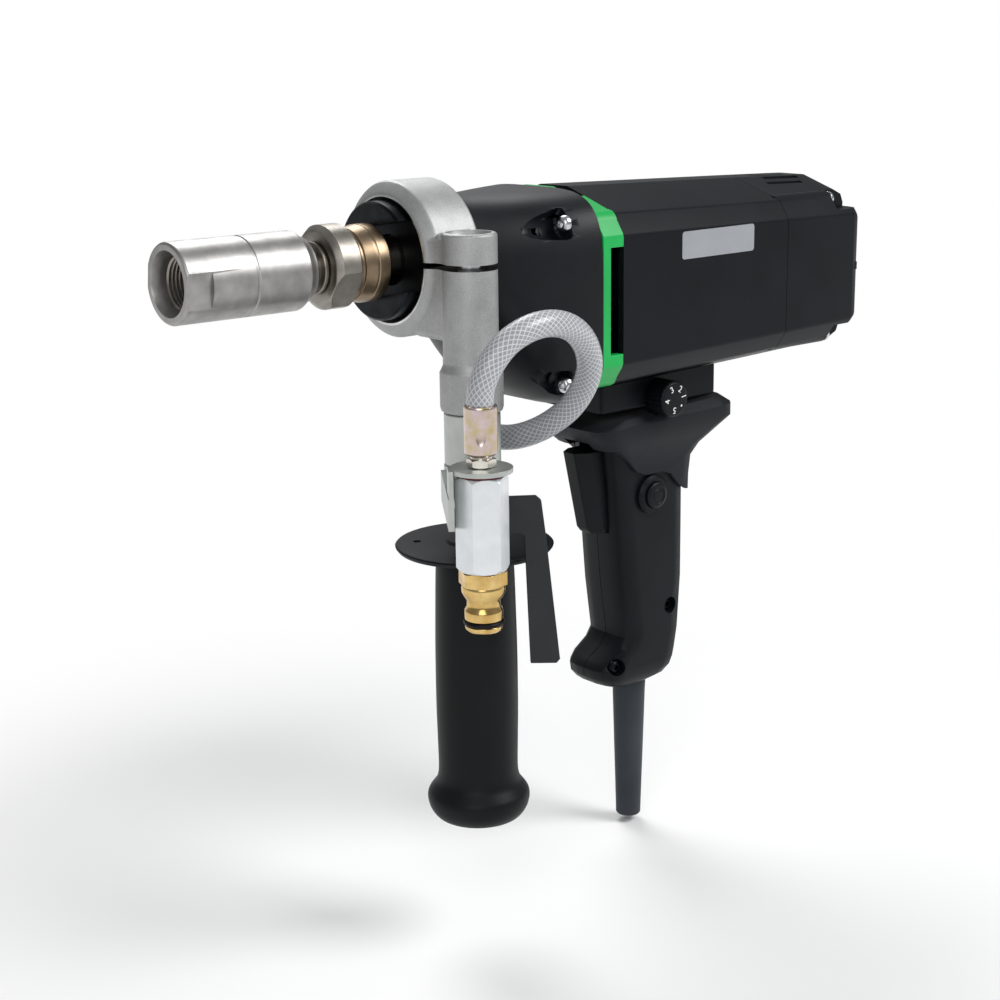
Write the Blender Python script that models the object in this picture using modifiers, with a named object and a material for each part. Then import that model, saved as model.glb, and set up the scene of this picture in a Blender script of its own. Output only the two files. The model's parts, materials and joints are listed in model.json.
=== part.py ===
"""Hand-held wet core drill motor with a clamped side handle and a water valve.

Blender 4.5, metres. The spindle turns about the world X axis at Y = Z = 0 and points to -X. The front face
of the clamping neck is at X = 0, the motor is behind it, and +Z is up.
"""

import math

import bmesh
import bpy
from mathutils import Matrix, Vector

MM = 0.001
GAP = 0.3  # running and seating clearance between separate pieces

# Driving dimensions, in millimetres.
neck_radius = 26.5
neck_front_slot = 31.0
neck_slot_turn = 10.0
neck_end = 34.0
motor_drop = 23.5
case_end = 94.0
band_length = 13.0
motor_length = 117.0
cap_length = 61.0
body_half_width = 48.5
body_half_height = 50.5
motor_taper = 0.94
shell_wall = 3.5
case_screw_y = 40.0
case_screw_z = 37.0
cap_screw_y = 35.0
cap_screw_z = 35.5
screw_radius = 1.9
screw_hole_radius = 2.2
stator_radius = 38.0
stator_length = 36.0
armature_radius = 23.5
air_gap = 1.3
commutator_radius = 13.0
shaft_radius = 6.0
journal_radius = 4.0
rear_bearing_radius = 11.0
front_armature_bearing_radius = 10.0
rear_spindle_bearing_radius = 11.8
spindle_radius = 10.0
spindle_tail_radius = 7.5
adaptor_radius = 17.3
adaptor_front = -104.0
adaptor_rear = -39.0
adaptor_bore_radius = 10.5
adaptor_bore_depth = 32.0
spindle_thread_length = 18.0
bearing_seat_radius = 21.0
neck_front_bore = spindle_radius + 1.5
neck_front_wall = 16.0
spigot_radius = 24.0
spigot_length = 6.0
clamp_ring_radius = neck_radius + 8.5
clamp_ring_front = 10.0
clamp_ring_width = 21.0
handle_x = 20.5
handle_y = -42.7
stud_radius = 5.0
barrel_radius = 12.3
barrel_top = 14.5
collar_radius = 14.1
collar_top = -45.0
collar_bottom = -64.0
tube_radius = 12.6
tube_bottom = -88.0
sleeve_bottom = -106.0
guard_z = -125.0
guard_radius = 35.8
grip_radius = 18.3
grip_bottom = -256.0
valve_offset = Vector((-28.0, -40.3))
hex_across_flats = 20.0
hex_top = -81.5
hex_length = 41.0
stem_radius = 2.2
nipple_length = 27.0
hose_radius = 5.8
inlet_x = 44.0
inlet_y = -3.0
inlet_bottom = -53.5
inlet_radius = 6.3
pistol_bottom = -232.5
grip_floor = -226.0
cable_sleeve_end = -312.0
grip_wall = 3.0
grip_screws = ((171.0, -193.0), (134.5, -219.5))
cord_x = 158.5
cord_bore = 3.6
sleeve_radius = 6.6
wire_x = 168.0
block_front = 118.0
block_rear = 198.0
block_half_width = 22.0
block_top = -66.5
block_bottom = -84.0
dial_radius = 9.0
dial_shaft = 2.9
dial_x = 156.0
dial_z = -70 - dial_radius
lock_x = 156.5
lock_z = -130.5
lock_radius = 6.8
lock_ring_radius = 10.2
trigger_front = 116.0
trigger_top = -105.6
trigger_bottom = -149.0
trigger_slope = 0.225
trigger_half_width = 8.2
trigger_travel = 5.0
trigger_rear = 141.5
gear_module = 1.0
lay_radius = 5.0
output_teeth = 40
layshaft_pinion_teeth = 13
layshaft_gear_teeth = 31
motor_pinion_teeth = 9

# Worked out from the sizes above.
motor_z = -motor_drop
band_end = case_end + band_length
motor_end = band_end + motor_length
cap_end = motor_end + cap_length
output_gear_x = 64.0
first_stage_x = 78.0
plate_x = 86.0
plate_thickness = 6.0
stator_front = band_end + 29.0
stator_rear = stator_front + stator_length
brush_x = motor_end - 10.0
cap_seat_front = motor_end + 10.0
stage_two = gear_module * (output_teeth + layshaft_pinion_teeth) / 2
stage_one = gear_module * (layshaft_gear_teeth + motor_pinion_teeth) / 2
lay_z = (stage_one**2 - stage_two**2 - motor_drop**2) / (2 * motor_drop)
lay_y = math.sqrt(stage_two**2 - lay_z**2)

for old in list(bpy.data.objects):
    bpy.data.objects.remove(old, do_unlink=True)
scene = bpy.context.scene
parts = bpy.data.collections.new("core_drill_rig")
cutters = bpy.data.collections.new("cutters")
scene.collection.children.link(parts)
scene.collection.children.link(cutters)
cutters.hide_render = True


def material(name, colour, roughness, metallic=0.0):
    made = bpy.data.materials.new(name)
    made.use_nodes = True
    shader = made.node_tree.nodes["Principled BSDF"]
    shader.inputs["Base Color"].default_value = (*colour, 1.0)
    shader.inputs["Roughness"].default_value = roughness
    shader.inputs["Metallic"].default_value = metallic
    return made


steel = material("machined_steel", (0.60, 0.59, 0.57), 0.3, 1.0)
dark_steel = material("blackened_steel", (0.03, 0.03, 0.035), 0.4, 1.0)
bronze = material("bronze", (0.50, 0.33, 0.20), 0.35, 1.0)
brass = material("brass", (0.75, 0.55, 0.25), 0.25, 1.0)
cast_aluminium = material("cast_aluminium", (0.55, 0.55, 0.54), 0.55, 1.0)
zinc = material("zinc_plate", (0.62, 0.65, 0.66), 0.4, 1.0)
copper = material("enamelled_copper", (0.55, 0.25, 0.12), 0.35, 1.0)
black_plastic = material("black_plastic", (0.012, 0.013, 0.015), 0.5)
soft_black = material("soft_black_rubber", (0.02, 0.021, 0.024), 0.7)
green_plastic = material("green_plastic", (0.02, 0.45, 0.10), 0.4)
clear_hose = material("clear_hose", (0.75, 0.75, 0.76), 0.3)
red_seal = material("red_seal", (0.15, 0.02, 0.03), 0.6)
pale_plastic = material("pale_plastic", (0.6, 0.58, 0.5), 0.5)


def new_object(name, mesh, stuff, group=parts):
    obj = bpy.data.objects.new(name, mesh)
    group.objects.link(obj)
    if stuff:
        obj.data.materials.append(stuff)
    if group is cutters:
        obj.hide_render = True
        obj.display_type = "WIRE"
    return obj


def put(obj, place, turn=(0.0, 0.0, 0.0), parent=None):
    obj.location = Vector(place) * MM
    obj.rotation_euler = turn
    obj.parent = parent
    return obj


ALONG_X = (0.0, math.pi / 2, 0.0)
ALONG_Y = (-math.pi / 2, 0.0, 0.0)


def from_bmesh(name, bm, stuff, group=parts):
    bmesh.ops.recalc_face_normals(bm, faces=bm.faces)
    mesh = bpy.data.meshes.new(name)
    bm.to_mesh(mesh)
    bm.free()
    return new_object(name, mesh, stuff, group)


def turned(name, stuff, outer, inner=(), steps=32, group=parts):
    """A turned piece about its local Z: (height, radius) points, rising, outside and then inside."""
    loop = [(r, z) for z, r in reversed(outer)] + [(r, z) for z, r in inner]
    if not inner:
        loop = [(0.0, outer[-1][0]), *loop, (0.0, outer[0][0])]
    mesh = bpy.data.meshes.new(name)
    count = len(loop)
    edges = [(i, i + 1) for i in range(count - 1)]
    if inner:
        edges.append((count - 1, 0))
    mesh.from_pydata([(r * MM, 0.0, z * MM) for r, z in loop], edges, [])
    obj = new_object(name, mesh, stuff, group)
    screw = obj.modifiers.new("Turn", "SCREW")
    screw.steps = steps
    screw.render_steps = steps
    screw.use_merge_vertices = True
    screw.merge_threshold = 0.00001
    screw.use_smooth_shade = True
    return obj


def box(name, stuff, low, high, bevel=0.0, group=parts, segments=2):
    low, high = Vector(low), Vector(high)
    bm = bmesh.new()
    bmesh.ops.create_cube(bm, size=1.0)
    bmesh.ops.scale(bm, vec=(high - low) * MM, verts=bm.verts)
    obj = from_bmesh(name, bm, stuff, group)
    obj.location = (low + high) / 2 * MM
    if bevel:
        rounding = obj.modifiers.new("Bevel", "BEVEL")
        rounding.width = bevel * MM
        rounding.segments = segments
    return obj


def rod(name, stuff, radius, low, high, steps=24, group=parts):
    return turned(name, stuff, [(low, radius), (high, radius)], steps=steps, group=group)


def prism(name, stuff, sides, across_flats, low, high, turn=0.0, group=parts):
    """A straight bar of regular section along local Z."""
    bm = bmesh.new()
    radius = across_flats / 2 / math.cos(math.pi / sides) * MM
    bmesh.ops.create_cone(
        bm, cap_ends=True, segments=sides, radius1=radius, radius2=radius, depth=(high - low) * MM
    )
    bmesh.ops.rotate(bm, matrix=Matrix.Rotation(turn, 3, "Z"), verts=bm.verts)
    bmesh.ops.translate(bm, vec=(0, 0, (low + high) / 2 * MM), verts=bm.verts)
    return from_bmesh(name, bm, stuff, group)


def boolean(obj, cutter, operation="DIFFERENCE"):
    modifier = obj.modifiers.new(cutter.name, "BOOLEAN")
    modifier.object = cutter
    modifier.operation = operation
    modifier.solver = "EXACT"
    return obj


def superellipse(half_y, half_z, centre_z, power, count=24):
    points = []
    for i in range(count):
        angle = 2 * math.pi * i / count
        c, s = math.cos(angle), math.sin(angle)
        y = half_y * math.copysign(abs(c) ** (2 / power), c)
        z = half_z * math.copysign(abs(s) ** (2 / power), s)
        points.append((y, centre_z + z))
    return points


def rounded_outline(corners, radius, steps=3):
    """A closed outline with each corner replaced by an arc-like curve of that radius."""
    points = []
    count = len(corners)
    for i, corner in enumerate(corners):
        here = Vector(corner)
        before = (Vector(corners[i - 1]) - here).normalized()
        after = (Vector(corners[(i + 1) % count]) - here).normalized()
        reach = radius / math.tan(before.angle(after) / 2)
        start, end = here + before * reach, here + after * reach
        for k in range(steps + 1):
            t = k / steps
            points.append(tuple(start * (1 - t) ** 2 + here * 2 * t * (1 - t) + end * t**2))
    return points


def loft(name, stuff, sections, group=parts):
    """A solid through closed sections, each a list of (x, y, z) with the same count of points."""
    bm = bmesh.new()
    rings = []
    for section in sections:
        verts = [bm.verts.new(Vector(p) * MM) for p in section]
        rings.append([bm.edges.new((verts[i - 1], verts[i])) for i in range(len(verts))])
    for first, second in zip(rings, rings[1:]):
        bmesh.ops.bridge_loops(bm, edges=first + second)
    bmesh.ops.contextual_create(bm, geom=rings[0])
    bmesh.ops.contextual_create(bm, geom=rings[-1])
    return from_bmesh(name, bm, stuff, group)


def body_outline(inset, scale=1.0):
    """The faceted section of the motor: flat sides, roof-like top and bottom facets, about the motor axis."""
    w = body_half_width * scale - inset
    h = body_half_height * scale - inset
    side, shoulder_y, shoulder_z = h * 0.60, w * 0.86, h * 0.79
    corners = [(w, -side), (w, side), (shoulder_y, shoulder_z), (w * 0.2, h), (-w * 0.2, h)]
    corners += [(-shoulder_y, shoulder_z), (-w, side), (-w, -side), (-shoulder_y, -shoulder_z)]
    corners += [(-w * 0.2, -h), (w * 0.2, -h), (shoulder_y, -shoulder_z)]
    return [(y, z + motor_z) for y, z in rounded_outline(corners, 3.0, 1)]


def at_x(x, outline):
    return [(x, y, z) for y, z in outline]


def scale_for(x):
    """The taper of the motor housing at x."""
    return 1 + (motor_taper - 1) * (x - band_end) / motor_length


def circle(radius, sides=16):
    angles = [2 * math.pi * i / sides for i in range(sides)]
    return [(radius * math.cos(a), radius * math.sin(a)) for a in angles]


def flat_shape(name, stuff, outlines, thickness, group=parts):
    """Closed (x, y) outlines filled and given a thickness, half to each side of local Z = 0."""
    curve = bpy.data.curves.new(name, "CURVE")
    curve.dimensions = "2D"
    curve.fill_mode = "BOTH"
    curve.extrude = thickness / 2 * MM
    for outline in outlines:
        spline = curve.splines.new("POLY")
        spline.points.add(len(outline) - 1)
        spline.use_cyclic_u = True
        for point, (x, y) in zip(spline.points, outline):
            point.co = (x * MM, y * MM, 0.0, 1.0)
    return new_object(name, curve, stuff, group)


def gear(name, stuff, teeth, width, bore=0.0, phase=0.0, group=parts):
    """A spur gear along local Z, its teeth trapezoids thin enough to run without touching."""
    pitch_radius = gear_module * teeth / 2
    tip, root = pitch_radius + 0.8 * gear_module, pitch_radius - 1.2 * gear_module
    step = 2 * math.pi / teeth
    half_root, half_tip = 0.235 * step, 0.09 * step
    outline = []
    for i in range(teeth):
        middle = i * step + phase
        for radius, offset in ((root, -half_root), (tip, -half_tip), (tip, half_tip), (root, half_root)):
            outline.append((radius * math.cos(middle + offset), radius * math.sin(middle + offset)))
    outlines = [outline, circle(bore)] if bore else [outline]
    return flat_shape(name, stuff, outlines, width, group)


def as_mesh(obj):
    """Turns a curve object into a welded mesh object of the same name and place."""
    bpy.context.view_layer.update()
    graph = bpy.context.evaluated_depsgraph_get()
    mesh = bpy.data.meshes.new_from_object(obj.evaluated_get(graph))
    bm = bmesh.new()
    bm.from_mesh(mesh)
    bmesh.ops.remove_doubles(bm, verts=bm.verts, dist=0.000001)
    bmesh.ops.recalc_face_normals(bm, faces=bm.faces)
    bm.to_mesh(mesh)
    bm.free()
    name, place, group = obj.name, obj.matrix_world.copy(), obj.users_collection[0]
    bpy.data.objects.remove(obj, do_unlink=True)
    made = new_object(name, mesh, None, group)
    made.matrix_world = place
    return made


def screw(name, place, turn, head_radius, head, shank_radius, shank, stuff=steel):
    """A pan-head screw along local Z: the head above 0, the shank below, a hex socket in the head."""
    obj = turned(
        name, stuff,
        [(-shank, shank_radius), (0.0, shank_radius), (0.0, head_radius), (head * 0.6, head_radius),
         (head, head_radius * 0.6)], steps=10,
    )
    socket = prism("socket_" + name, None, 6, head_radius * 0.75, head * 0.35, head + 1, group=cutters)
    socket.parent = obj
    boolean(obj, socket)
    return put(obj, place, turn)


# The spindle, what turns with it, and the gears behind it.
def wrench_flats(obj, low, high, reach, degrees):
    """Two flats for a spanner across the spindle's axis, each that far from it."""
    for side in (0, 180):
        flat = box(f"{obj.name}_flat_{side}", None, (low, reach, -20), (high, reach + 6, 20), group=cutters)
        turn = Matrix.Rotation(math.radians(degrees + side), 4, "X")
        flat.matrix_world = turn @ Matrix.Translation(flat.location)
        boolean(obj, flat)


def build_spindle():
    spindle = turned(
        "spindle", steel,
        [(adaptor_rear - spindle_thread_length, spindle_radius - 2), (-33.5, spindle_radius - 2),
         (-33.5, 11.6), (-31.5, 11.6), (-31.5, spindle_radius), (output_gear_x + 8, spindle_radius),
         (output_gear_x + 8, spindle_tail_radius), (plate_x + 2, spindle_tail_radius)],
    )
    put(spindle, (0, 0, 0), ALONG_X)
    thread_end = adaptor_rear - spindle_thread_length - GAP
    adaptor = turned(
        "core_bit_adaptor", steel,
        [(adaptor_front, adaptor_radius - 1), (adaptor_front + 1, adaptor_radius),
         (adaptor_rear - 32, adaptor_radius), (adaptor_rear - 31.6, adaptor_radius - 0.4),
         (adaptor_rear - 30.8, adaptor_radius - 0.4), (adaptor_rear - 30.4, adaptor_radius),
         (adaptor_rear - 5, adaptor_radius), (adaptor_rear - 2, adaptor_radius - 2.1),
         (adaptor_rear, adaptor_radius - 2.9)],
        [(adaptor_front, 13.6), (adaptor_front + 6, adaptor_bore_radius),
         (adaptor_front + adaptor_bore_depth, adaptor_bore_radius),
         (adaptor_front + adaptor_bore_depth, 5.0), (thread_end, 5.0),
         (thread_end, spindle_radius - 2 + GAP), (adaptor_rear, spindle_radius - 2 + GAP)],
        steps=28,
    )
    put(adaptor, (0, 0, 0), ALONG_X)
    wrench_flats(adaptor, adaptor_front - 1, adaptor_front + 12, adaptor_radius - 1.8, 8)
    nut = turned(
        "spindle_flange_nut", steel,
        [(-31.0, 16.5), (-29.8, 18.5), (-18.6, 18.5), (-17.6, 17.4)],
        [(-31.0, spindle_radius + GAP), (-17.6, spindle_radius + GAP)], steps=28,
    )
    put(nut, (0, 0, 0), ALONG_X)
    wrench_flats(nut, -33, -16, 16.0, 35)
    ring = turned(
        "release_ring", bronze,
        [(-17.3, 15.4), (-15.4, 15.4), (-15.0, 16.3), (-10.0, 17.3), (-3.0, 17.3), (-2.0, 16.6)],
        [(-17.3, spindle_radius + GAP), (-2.0, spindle_radius + GAP)], steps=26,
    )
    put(ring, (0, 0, 0), ALONG_X)
    output = gear("output_gear", steel, output_teeth, 9.0, spindle_radius + GAP)
    put(output, (output_gear_x, 0, 0), ALONG_X)


def build_gear_train():
    # The layshaft carries its pinion in one piece; tooth phases put both pairs in mesh at rest.
    lay_angle = math.atan2(lay_y, -lay_z)
    step = 2 * math.pi / layshaft_pinion_teeth
    output_phase = lay_angle / (2 * math.pi / output_teeth)
    pinion_phase = lay_angle + math.pi + (output_phase % 1.0 - 0.5) * step
    shaft = rod("layshaft", steel, lay_radius, output_gear_x - 10, plate_x + plate_thickness - 1, steps=20)
    put(shaft, (0, lay_y, lay_z), ALONG_X)
    pinion = as_mesh(gear("layshaft_pinion", None, layshaft_pinion_teeth, 10.0, phase=pinion_phase,
                          group=cutters))
    pinion.location = (0, 0, output_gear_x * MM)
    pinion.parent = shaft
    boolean(shaft, pinion, "UNION")
    pair_angle = math.atan2(lay_y, -(lay_z - motor_z)) + math.pi
    motor_step = 2 * math.pi / motor_pinion_teeth
    wheel = as_mesh(gear("layshaft_gear", None, layshaft_gear_teeth, 7.0, phase=pair_angle, group=cutters))
    wheel.location = (0, 0, first_stage_x * MM)
    wheel.parent = shaft
    boolean(shaft, wheel, "UNION")
    armature = turned(
        "armature_shaft", steel,
        [(first_stage_x - 5, 3.0), (first_stage_x + 5, 3.0), (first_stage_x + 5, journal_radius),
         (plate_x, journal_radius), (plate_x, shaft_radius), (cap_seat_front - 2, shaft_radius),
         (cap_seat_front - 2, journal_radius), (cap_seat_front + 14, journal_radius)], steps=20,
    )
    put(armature, (0, 0, motor_z), ALONG_X)
    motor_pinion = as_mesh(gear("motor_pinion", None, motor_pinion_teeth, 9.0,
                                phase=pair_angle + math.pi + motor_step / 2, group=cutters))
    motor_pinion.location = (0, 0, first_stage_x * MM)
    motor_pinion.parent = armature
    boolean(armature, motor_pinion, "UNION")
    bore = shaft_radius + GAP
    core_rear = stator_rear + 18
    core = turned("armature_core", dark_steel, [(stator_front, armature_radius), (core_rear, armature_radius)],
                  [(stator_front, bore), (core_rear, bore)], steps=24)
    put(core, (0, 0, motor_z), ALONG_X)
    commutator = turned("commutator", copper,
                        [(brush_x - 8, commutator_radius), (brush_x + 8, commutator_radius)],
                        [(brush_x - 8, bore), (brush_x + 8, bore)], steps=20)
    put(commutator, (0, 0, motor_z), ALONG_X)
    fan_front = band_end + 1
    fan = turned("cooling_fan", black_plastic,
                 [(fan_front, 14.0), (fan_front + 2, 36.0), (fan_front + 4, 36.0), (fan_front + 4, 14.0),
                  (fan_front + 14, 12.0)],
                 [(fan_front, bore), (fan_front + 14, bore)], steps=24)
    blades = 8
    for i in range(blades):
        blade = box(f"fan_blade_{i}", None, (fan_front + 3, -1, 10), (fan_front + 13, 1, 35), group=cutters)
        turn = Matrix.Rotation(2 * math.pi * i / blades, 4, "X")
        blade.matrix_world = (
            Matrix.Rotation(-math.pi / 2, 4, "Y") @ turn @ Matrix.Translation(blade.location)
        )
        blade.parent = fan
        boolean(fan, blade, "UNION")
    put(fan, (0, 0, motor_z), ALONG_X)


def ball_bearing(name, bore, outside, front, width, z=0.0):
    """A sealed ball bearing as one ring: both races with the balls between them."""
    obj = turned(
        name, steel, [(0.0, outside), (width, outside)],
        [(0.0, bore), (width, bore)], steps=16)
    return put(obj, (front, 0, z), ALONG_X)


# The collar and the gear case.
def build_neck():
    seat = bearing_seat_radius + GAP
    rear = neck_end + spigot_length
    neck = turned(
        "clamping_neck", dark_steel,
        [(0.0, neck_radius - 0.6), (0.6, neck_radius), (neck_end, neck_radius), (neck_end, spigot_radius),
         (rear, spigot_radius)],
        [(0.0, neck_front_bore), (neck_front_wall, neck_front_bore), (neck_front_wall, seat), (rear, seat)],
    )
    put(neck, (0, 0, 0), ALONG_X)
    slot = box("neck_slot", None, (-2, -40, -neck_front_slot / 2), (9, 40, neck_front_slot / 2),
               group=cutters)
    turn = Matrix.Rotation(math.radians(-neck_slot_turn), 4, "X")
    slot.matrix_world = turn @ Matrix.Translation(slot.location)
    boolean(neck, slot)
    for degrees in (75, -75):
        hole = rod(f"neck_hole_{degrees}", None, 1.6, neck_radius - 4, neck_radius + 4, steps=12,
                   group=cutters)
        turn = Matrix.Rotation(math.radians(degrees + 90), 4, "X")
        hole.matrix_world = Matrix.Translation((6.0 * MM, 0, 0)) @ turn
        boolean(neck, hole)
    bearing_width = 12.0
    ball_bearing("front_spindle_bearing", spindle_radius + GAP, bearing_seat_radius, neck_front_wall + GAP,
                 bearing_width)
    seal = turned("spindle_water_seal", soft_black, [(30.0, bearing_seat_radius), (37.0, bearing_seat_radius)],
                  [(30.0, spindle_radius + GAP), (37.0, spindle_radius + GAP)], steps=28)
    put(seal, (0, 0, 0), ALONG_X)


def case_section(x, half_y, half_z, centre_z, power):
    return at_x(x, superellipse(half_y, half_z, centre_z, power))


def screw_corners(y, z):
    """The four corners that far from the motor's axis, with the signs of each."""
    return [(j * y, motor_z + k * z, j, k) for j in (-1, 1) for k in (1, -1)]


def build_gear_case():
    rows = [(neck_end + GAP, neck_radius + 3, neck_radius + 2, -1.0, 2.0), (neck_end + 8, 34.0, 33.0, -6.5, 2.2),
            (neck_end + 22, 40.0, 41.0, -14.5, 2.7), (neck_end + 40, 45.5, 48.5, -21.5, 3.4),
            (case_end, body_half_width + 0.5, body_half_height + 0.5, motor_z, 4.2)]
    case = loft("gear_case", black_plastic, [case_section(*row) for row in rows])
    wall = 4.0
    inner = [(neck_end + 9, spigot_radius + 3, spigot_radius + 2.5, -3.0, 2.0)]
    inner += [(x, y - wall, z - wall, c, p) for x, y, z, c, p in rows[2:4]]
    inner.append((case_end + 2, body_half_width - wall, body_half_height - wall, motor_z, 4.2))
    hollow = loft("case_hollow", None, [case_section(*row) for row in inner], cutters)
    boolean(case, hollow)
    bore = rod("case_bore", None, spigot_radius + GAP, neck_end - 2, neck_end + 12, steps=48, group=cutters)
    put(bore, (0, 0, 0), ALONG_X)
    boolean(case, bore)
    boss_share = 0.88
    boss_front = 70.0
    pocket_floor = 79.5
    bosses = screw_corners(case_screw_y * boss_share, case_screw_z * boss_share)
    for i, (y, z, _, _) in enumerate(bosses):
        boss = rod(f"case_boss_{i}", None, 9.5, boss_front, case_end, steps=20, group=cutters)
        put(boss, (0, y, z), ALONG_X)
        boolean(case, boss, "UNION")
    for i, (y, z, _, _) in enumerate(screw_corners(case_screw_y, case_screw_z)):
        pocket = rod(f"case_pocket_{i}", None, 7.2, 40.0, pocket_floor, steps=20, group=cutters)
        put(pocket, (0, y, z), ALONG_X)
        boolean(case, pocket)
        hole = rod(f"case_hole_{i}", None, screw_hole_radius, boss_front, case_end + 1, steps=12,
                   group=cutters)
        put(hole, (0, y, z), ALONG_X)
        boolean(case, hole)
        screw(f"gear_case_screw_{i + 1}", (pocket_floor - GAP, y, z), (0, -math.pi / 2, 0), 4.2, 3.6,
              screw_radius, case_end + 9.2 - pocket_floor)
    inlet_low, inlet_high, inlet_bore, inlet_neck = -43.0, -24.0, 2.2, 4.7
    for name, radius, top in (("hole", inlet_neck + GAP, -20.0), ("seat", inlet_radius + GAP, -38.0)):
        way = rod(f"case_inlet_{name}", None, radius, -60.0, top, steps=20, group=cutters)
        put(way, (inlet_x, inlet_y, 0))
        boolean(case, way)
    water_inlet = turned(
        "water_inlet", brass,
        [(inlet_bottom, inlet_radius - 0.9), (inlet_bottom + 1.0, inlet_radius), (inlet_low, inlet_radius),
         (inlet_low + 0.8, inlet_radius - 0.7), (inlet_low + 0.8, inlet_neck), (inlet_high, inlet_neck)],
        [(inlet_bottom, inlet_bore), (inlet_high, inlet_bore)], steps=20,
    )
    put(water_inlet, (inlet_x, inlet_y, 0))
    plate_end = plate_x + plate_thickness
    plate_inset = wall + 2.4
    plate = loft("bearing_plate", cast_aluminium, [
        case_section(x, body_half_width - plate_inset, body_half_height - plate_inset, motor_z + 0.5, 3.4)
        for x in (plate_x, plate_end)])
    seats = [("spindle", 0, 0, rear_spindle_bearing_radius), ("lay", lay_y, lay_z, lay_radius),
             ("motor", 0, motor_z, front_armature_bearing_radius)]
    for name, y, z, radius in seats:
        seat = rod(f"plate_{name}", None, radius + GAP, plate_x - 1, plate_end + 1, group=cutters)
        put(seat, (0, y, z), ALONG_X)
        boolean(plate, seat)
    for i, (y, z, _, _) in enumerate(bosses):
        relief = rod(f"plate_corner_{i}", None, 10.0, plate_x - 1, plate_end + 1, steps=20, group=cutters)
        put(relief, (0, y, z), ALONG_X)
        boolean(plate, relief)


# The band, the motor and the rear cap.
def corner_block(name, inset, start, y, z):
    """A block outside one corner of the rear cap; y and z are the signs of the corner."""
    beyond = 3.5
    block = box(name, None, (start, -inset, -inset), (cap_end + 2, 20, 20), group=cutters)
    block.location.y = y * ((cap_screw_y + beyond) * MM + block.location.y)
    block.location.z = motor_z * MM + z * ((cap_screw_z + beyond) * MM + block.location.z)
    return block


def motor_loft(name, stuff, rows, group=parts):
    """A loft of the motor's section through (x, inset) rows, with the housing's taper up to its end."""
    return loft(name, stuff, [at_x(x, body_outline(inset, scale_for(min(x, motor_end)))) for x, inset in rows],
                group)


def build_band():
    band = loft("trim_band", green_plastic, [at_x(x, body_outline(-0.3)) for x in (case_end + GAP, band_end)])
    band_bore = loft("band_bore", None, [at_x(x, body_outline(4.2)) for x in (case_end - 1, band_end + 1)],
                     cutters)
    boolean(band, band_bore)
    vent_front = band_end - 8.0
    inner_y, inner_z = body_half_width - 18.5, body_half_height - 12.5
    vents = [("left", (vent_front, -inner_y - 30, motor_z - 25), (band_end + 1, -inner_y, motor_z + 25)),
             ("right", (vent_front, inner_y, motor_z - 25), (band_end + 1, inner_y + 30, motor_z + 25)),
             ("top", (vent_front, -22, motor_z + inner_z), (band_end + 1, 22, motor_z + inner_z + 22))]
    for side, low, high in vents:
        vent = box(f"band_vent_{side}", None, low, high, group=cutters)
        boolean(band, vent)
    for i, (y, z, j, k) in enumerate(screw_corners(case_screw_y, case_screw_z)):
        boss = rod(f"band_boss_{i}", None, 6.0, case_end + GAP, band_end, steps=16, group=cutters)
        put(boss, (0, y - j * 1.5, z - k * 1.5), ALONG_X)
        boolean(band, boss, "UNION")
        hole = rod(f"band_hole_{i}", None, screw_hole_radius, case_end - 1, band_end - 1.0, steps=12,
                   group=cutters)
        put(hole, (0, y, z), ALONG_X)
        boolean(band, hole)


def build_housing():
    housing = motor_loft("motor_housing", black_plastic, [(band_end + GAP, 0.0), (motor_end, 0.0)])
    bore = motor_loft("housing_bore", None, [(band_end - 1, shell_wall), (motor_end + 1, shell_wall)], cutters)
    boolean(housing, bore)
    ring = turned("stator_seat", None, [(stator_front - 4, 47.0), (stator_rear + 4, 47.0)],
                  [(stator_front - 4, stator_radius + GAP), (stator_rear + 4, stator_radius + GAP)],
                  group=cutters)
    put(ring, (0, 0, motor_z), ALONG_X)
    trim = motor_loft("seat_trim", None, [(band_end - 1, 2.0), (motor_end + 1, 2.0)], cutters)
    boolean(ring, trim, "INTERSECT")
    boolean(housing, ring, "UNION")
    wire_hole = box("wire_hole", None, (wire_x + 10, -9, motor_z - 60), (wire_x + 28, 9, motor_z - 38),
                    group=cutters)
    boolean(housing, wire_hole)
    holder_end = body_half_width - 8.5
    for side, name in ((-1, "left"), (1, "right")):
        holder = box(f"brush_holder_{name}", brass, (brush_x - 6, commutator_radius + 4, motor_z - 5),
                     (brush_x + 6, holder_end, motor_z + 5))
        brush = box(f"brush_{name}", None, (brush_x - 3.8, commutator_radius + 0.4, motor_z - 3),
                    (brush_x + 3.8, commutator_radius + 7, motor_z + 3), group=cutters)
        pad = box(f"brush_pad_{name}", None, (brush_x - 9, holder_end + GAP, motor_z - 7),
                  (brush_x + 8, holder_end + 3.5, motor_z + 7), group=cutters)
        for piece in (holder, brush, pad):
            piece.location.y = side * piece.location.y
        boolean(holder, brush, "UNION")
        boolean(housing, pad, "UNION")


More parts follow.
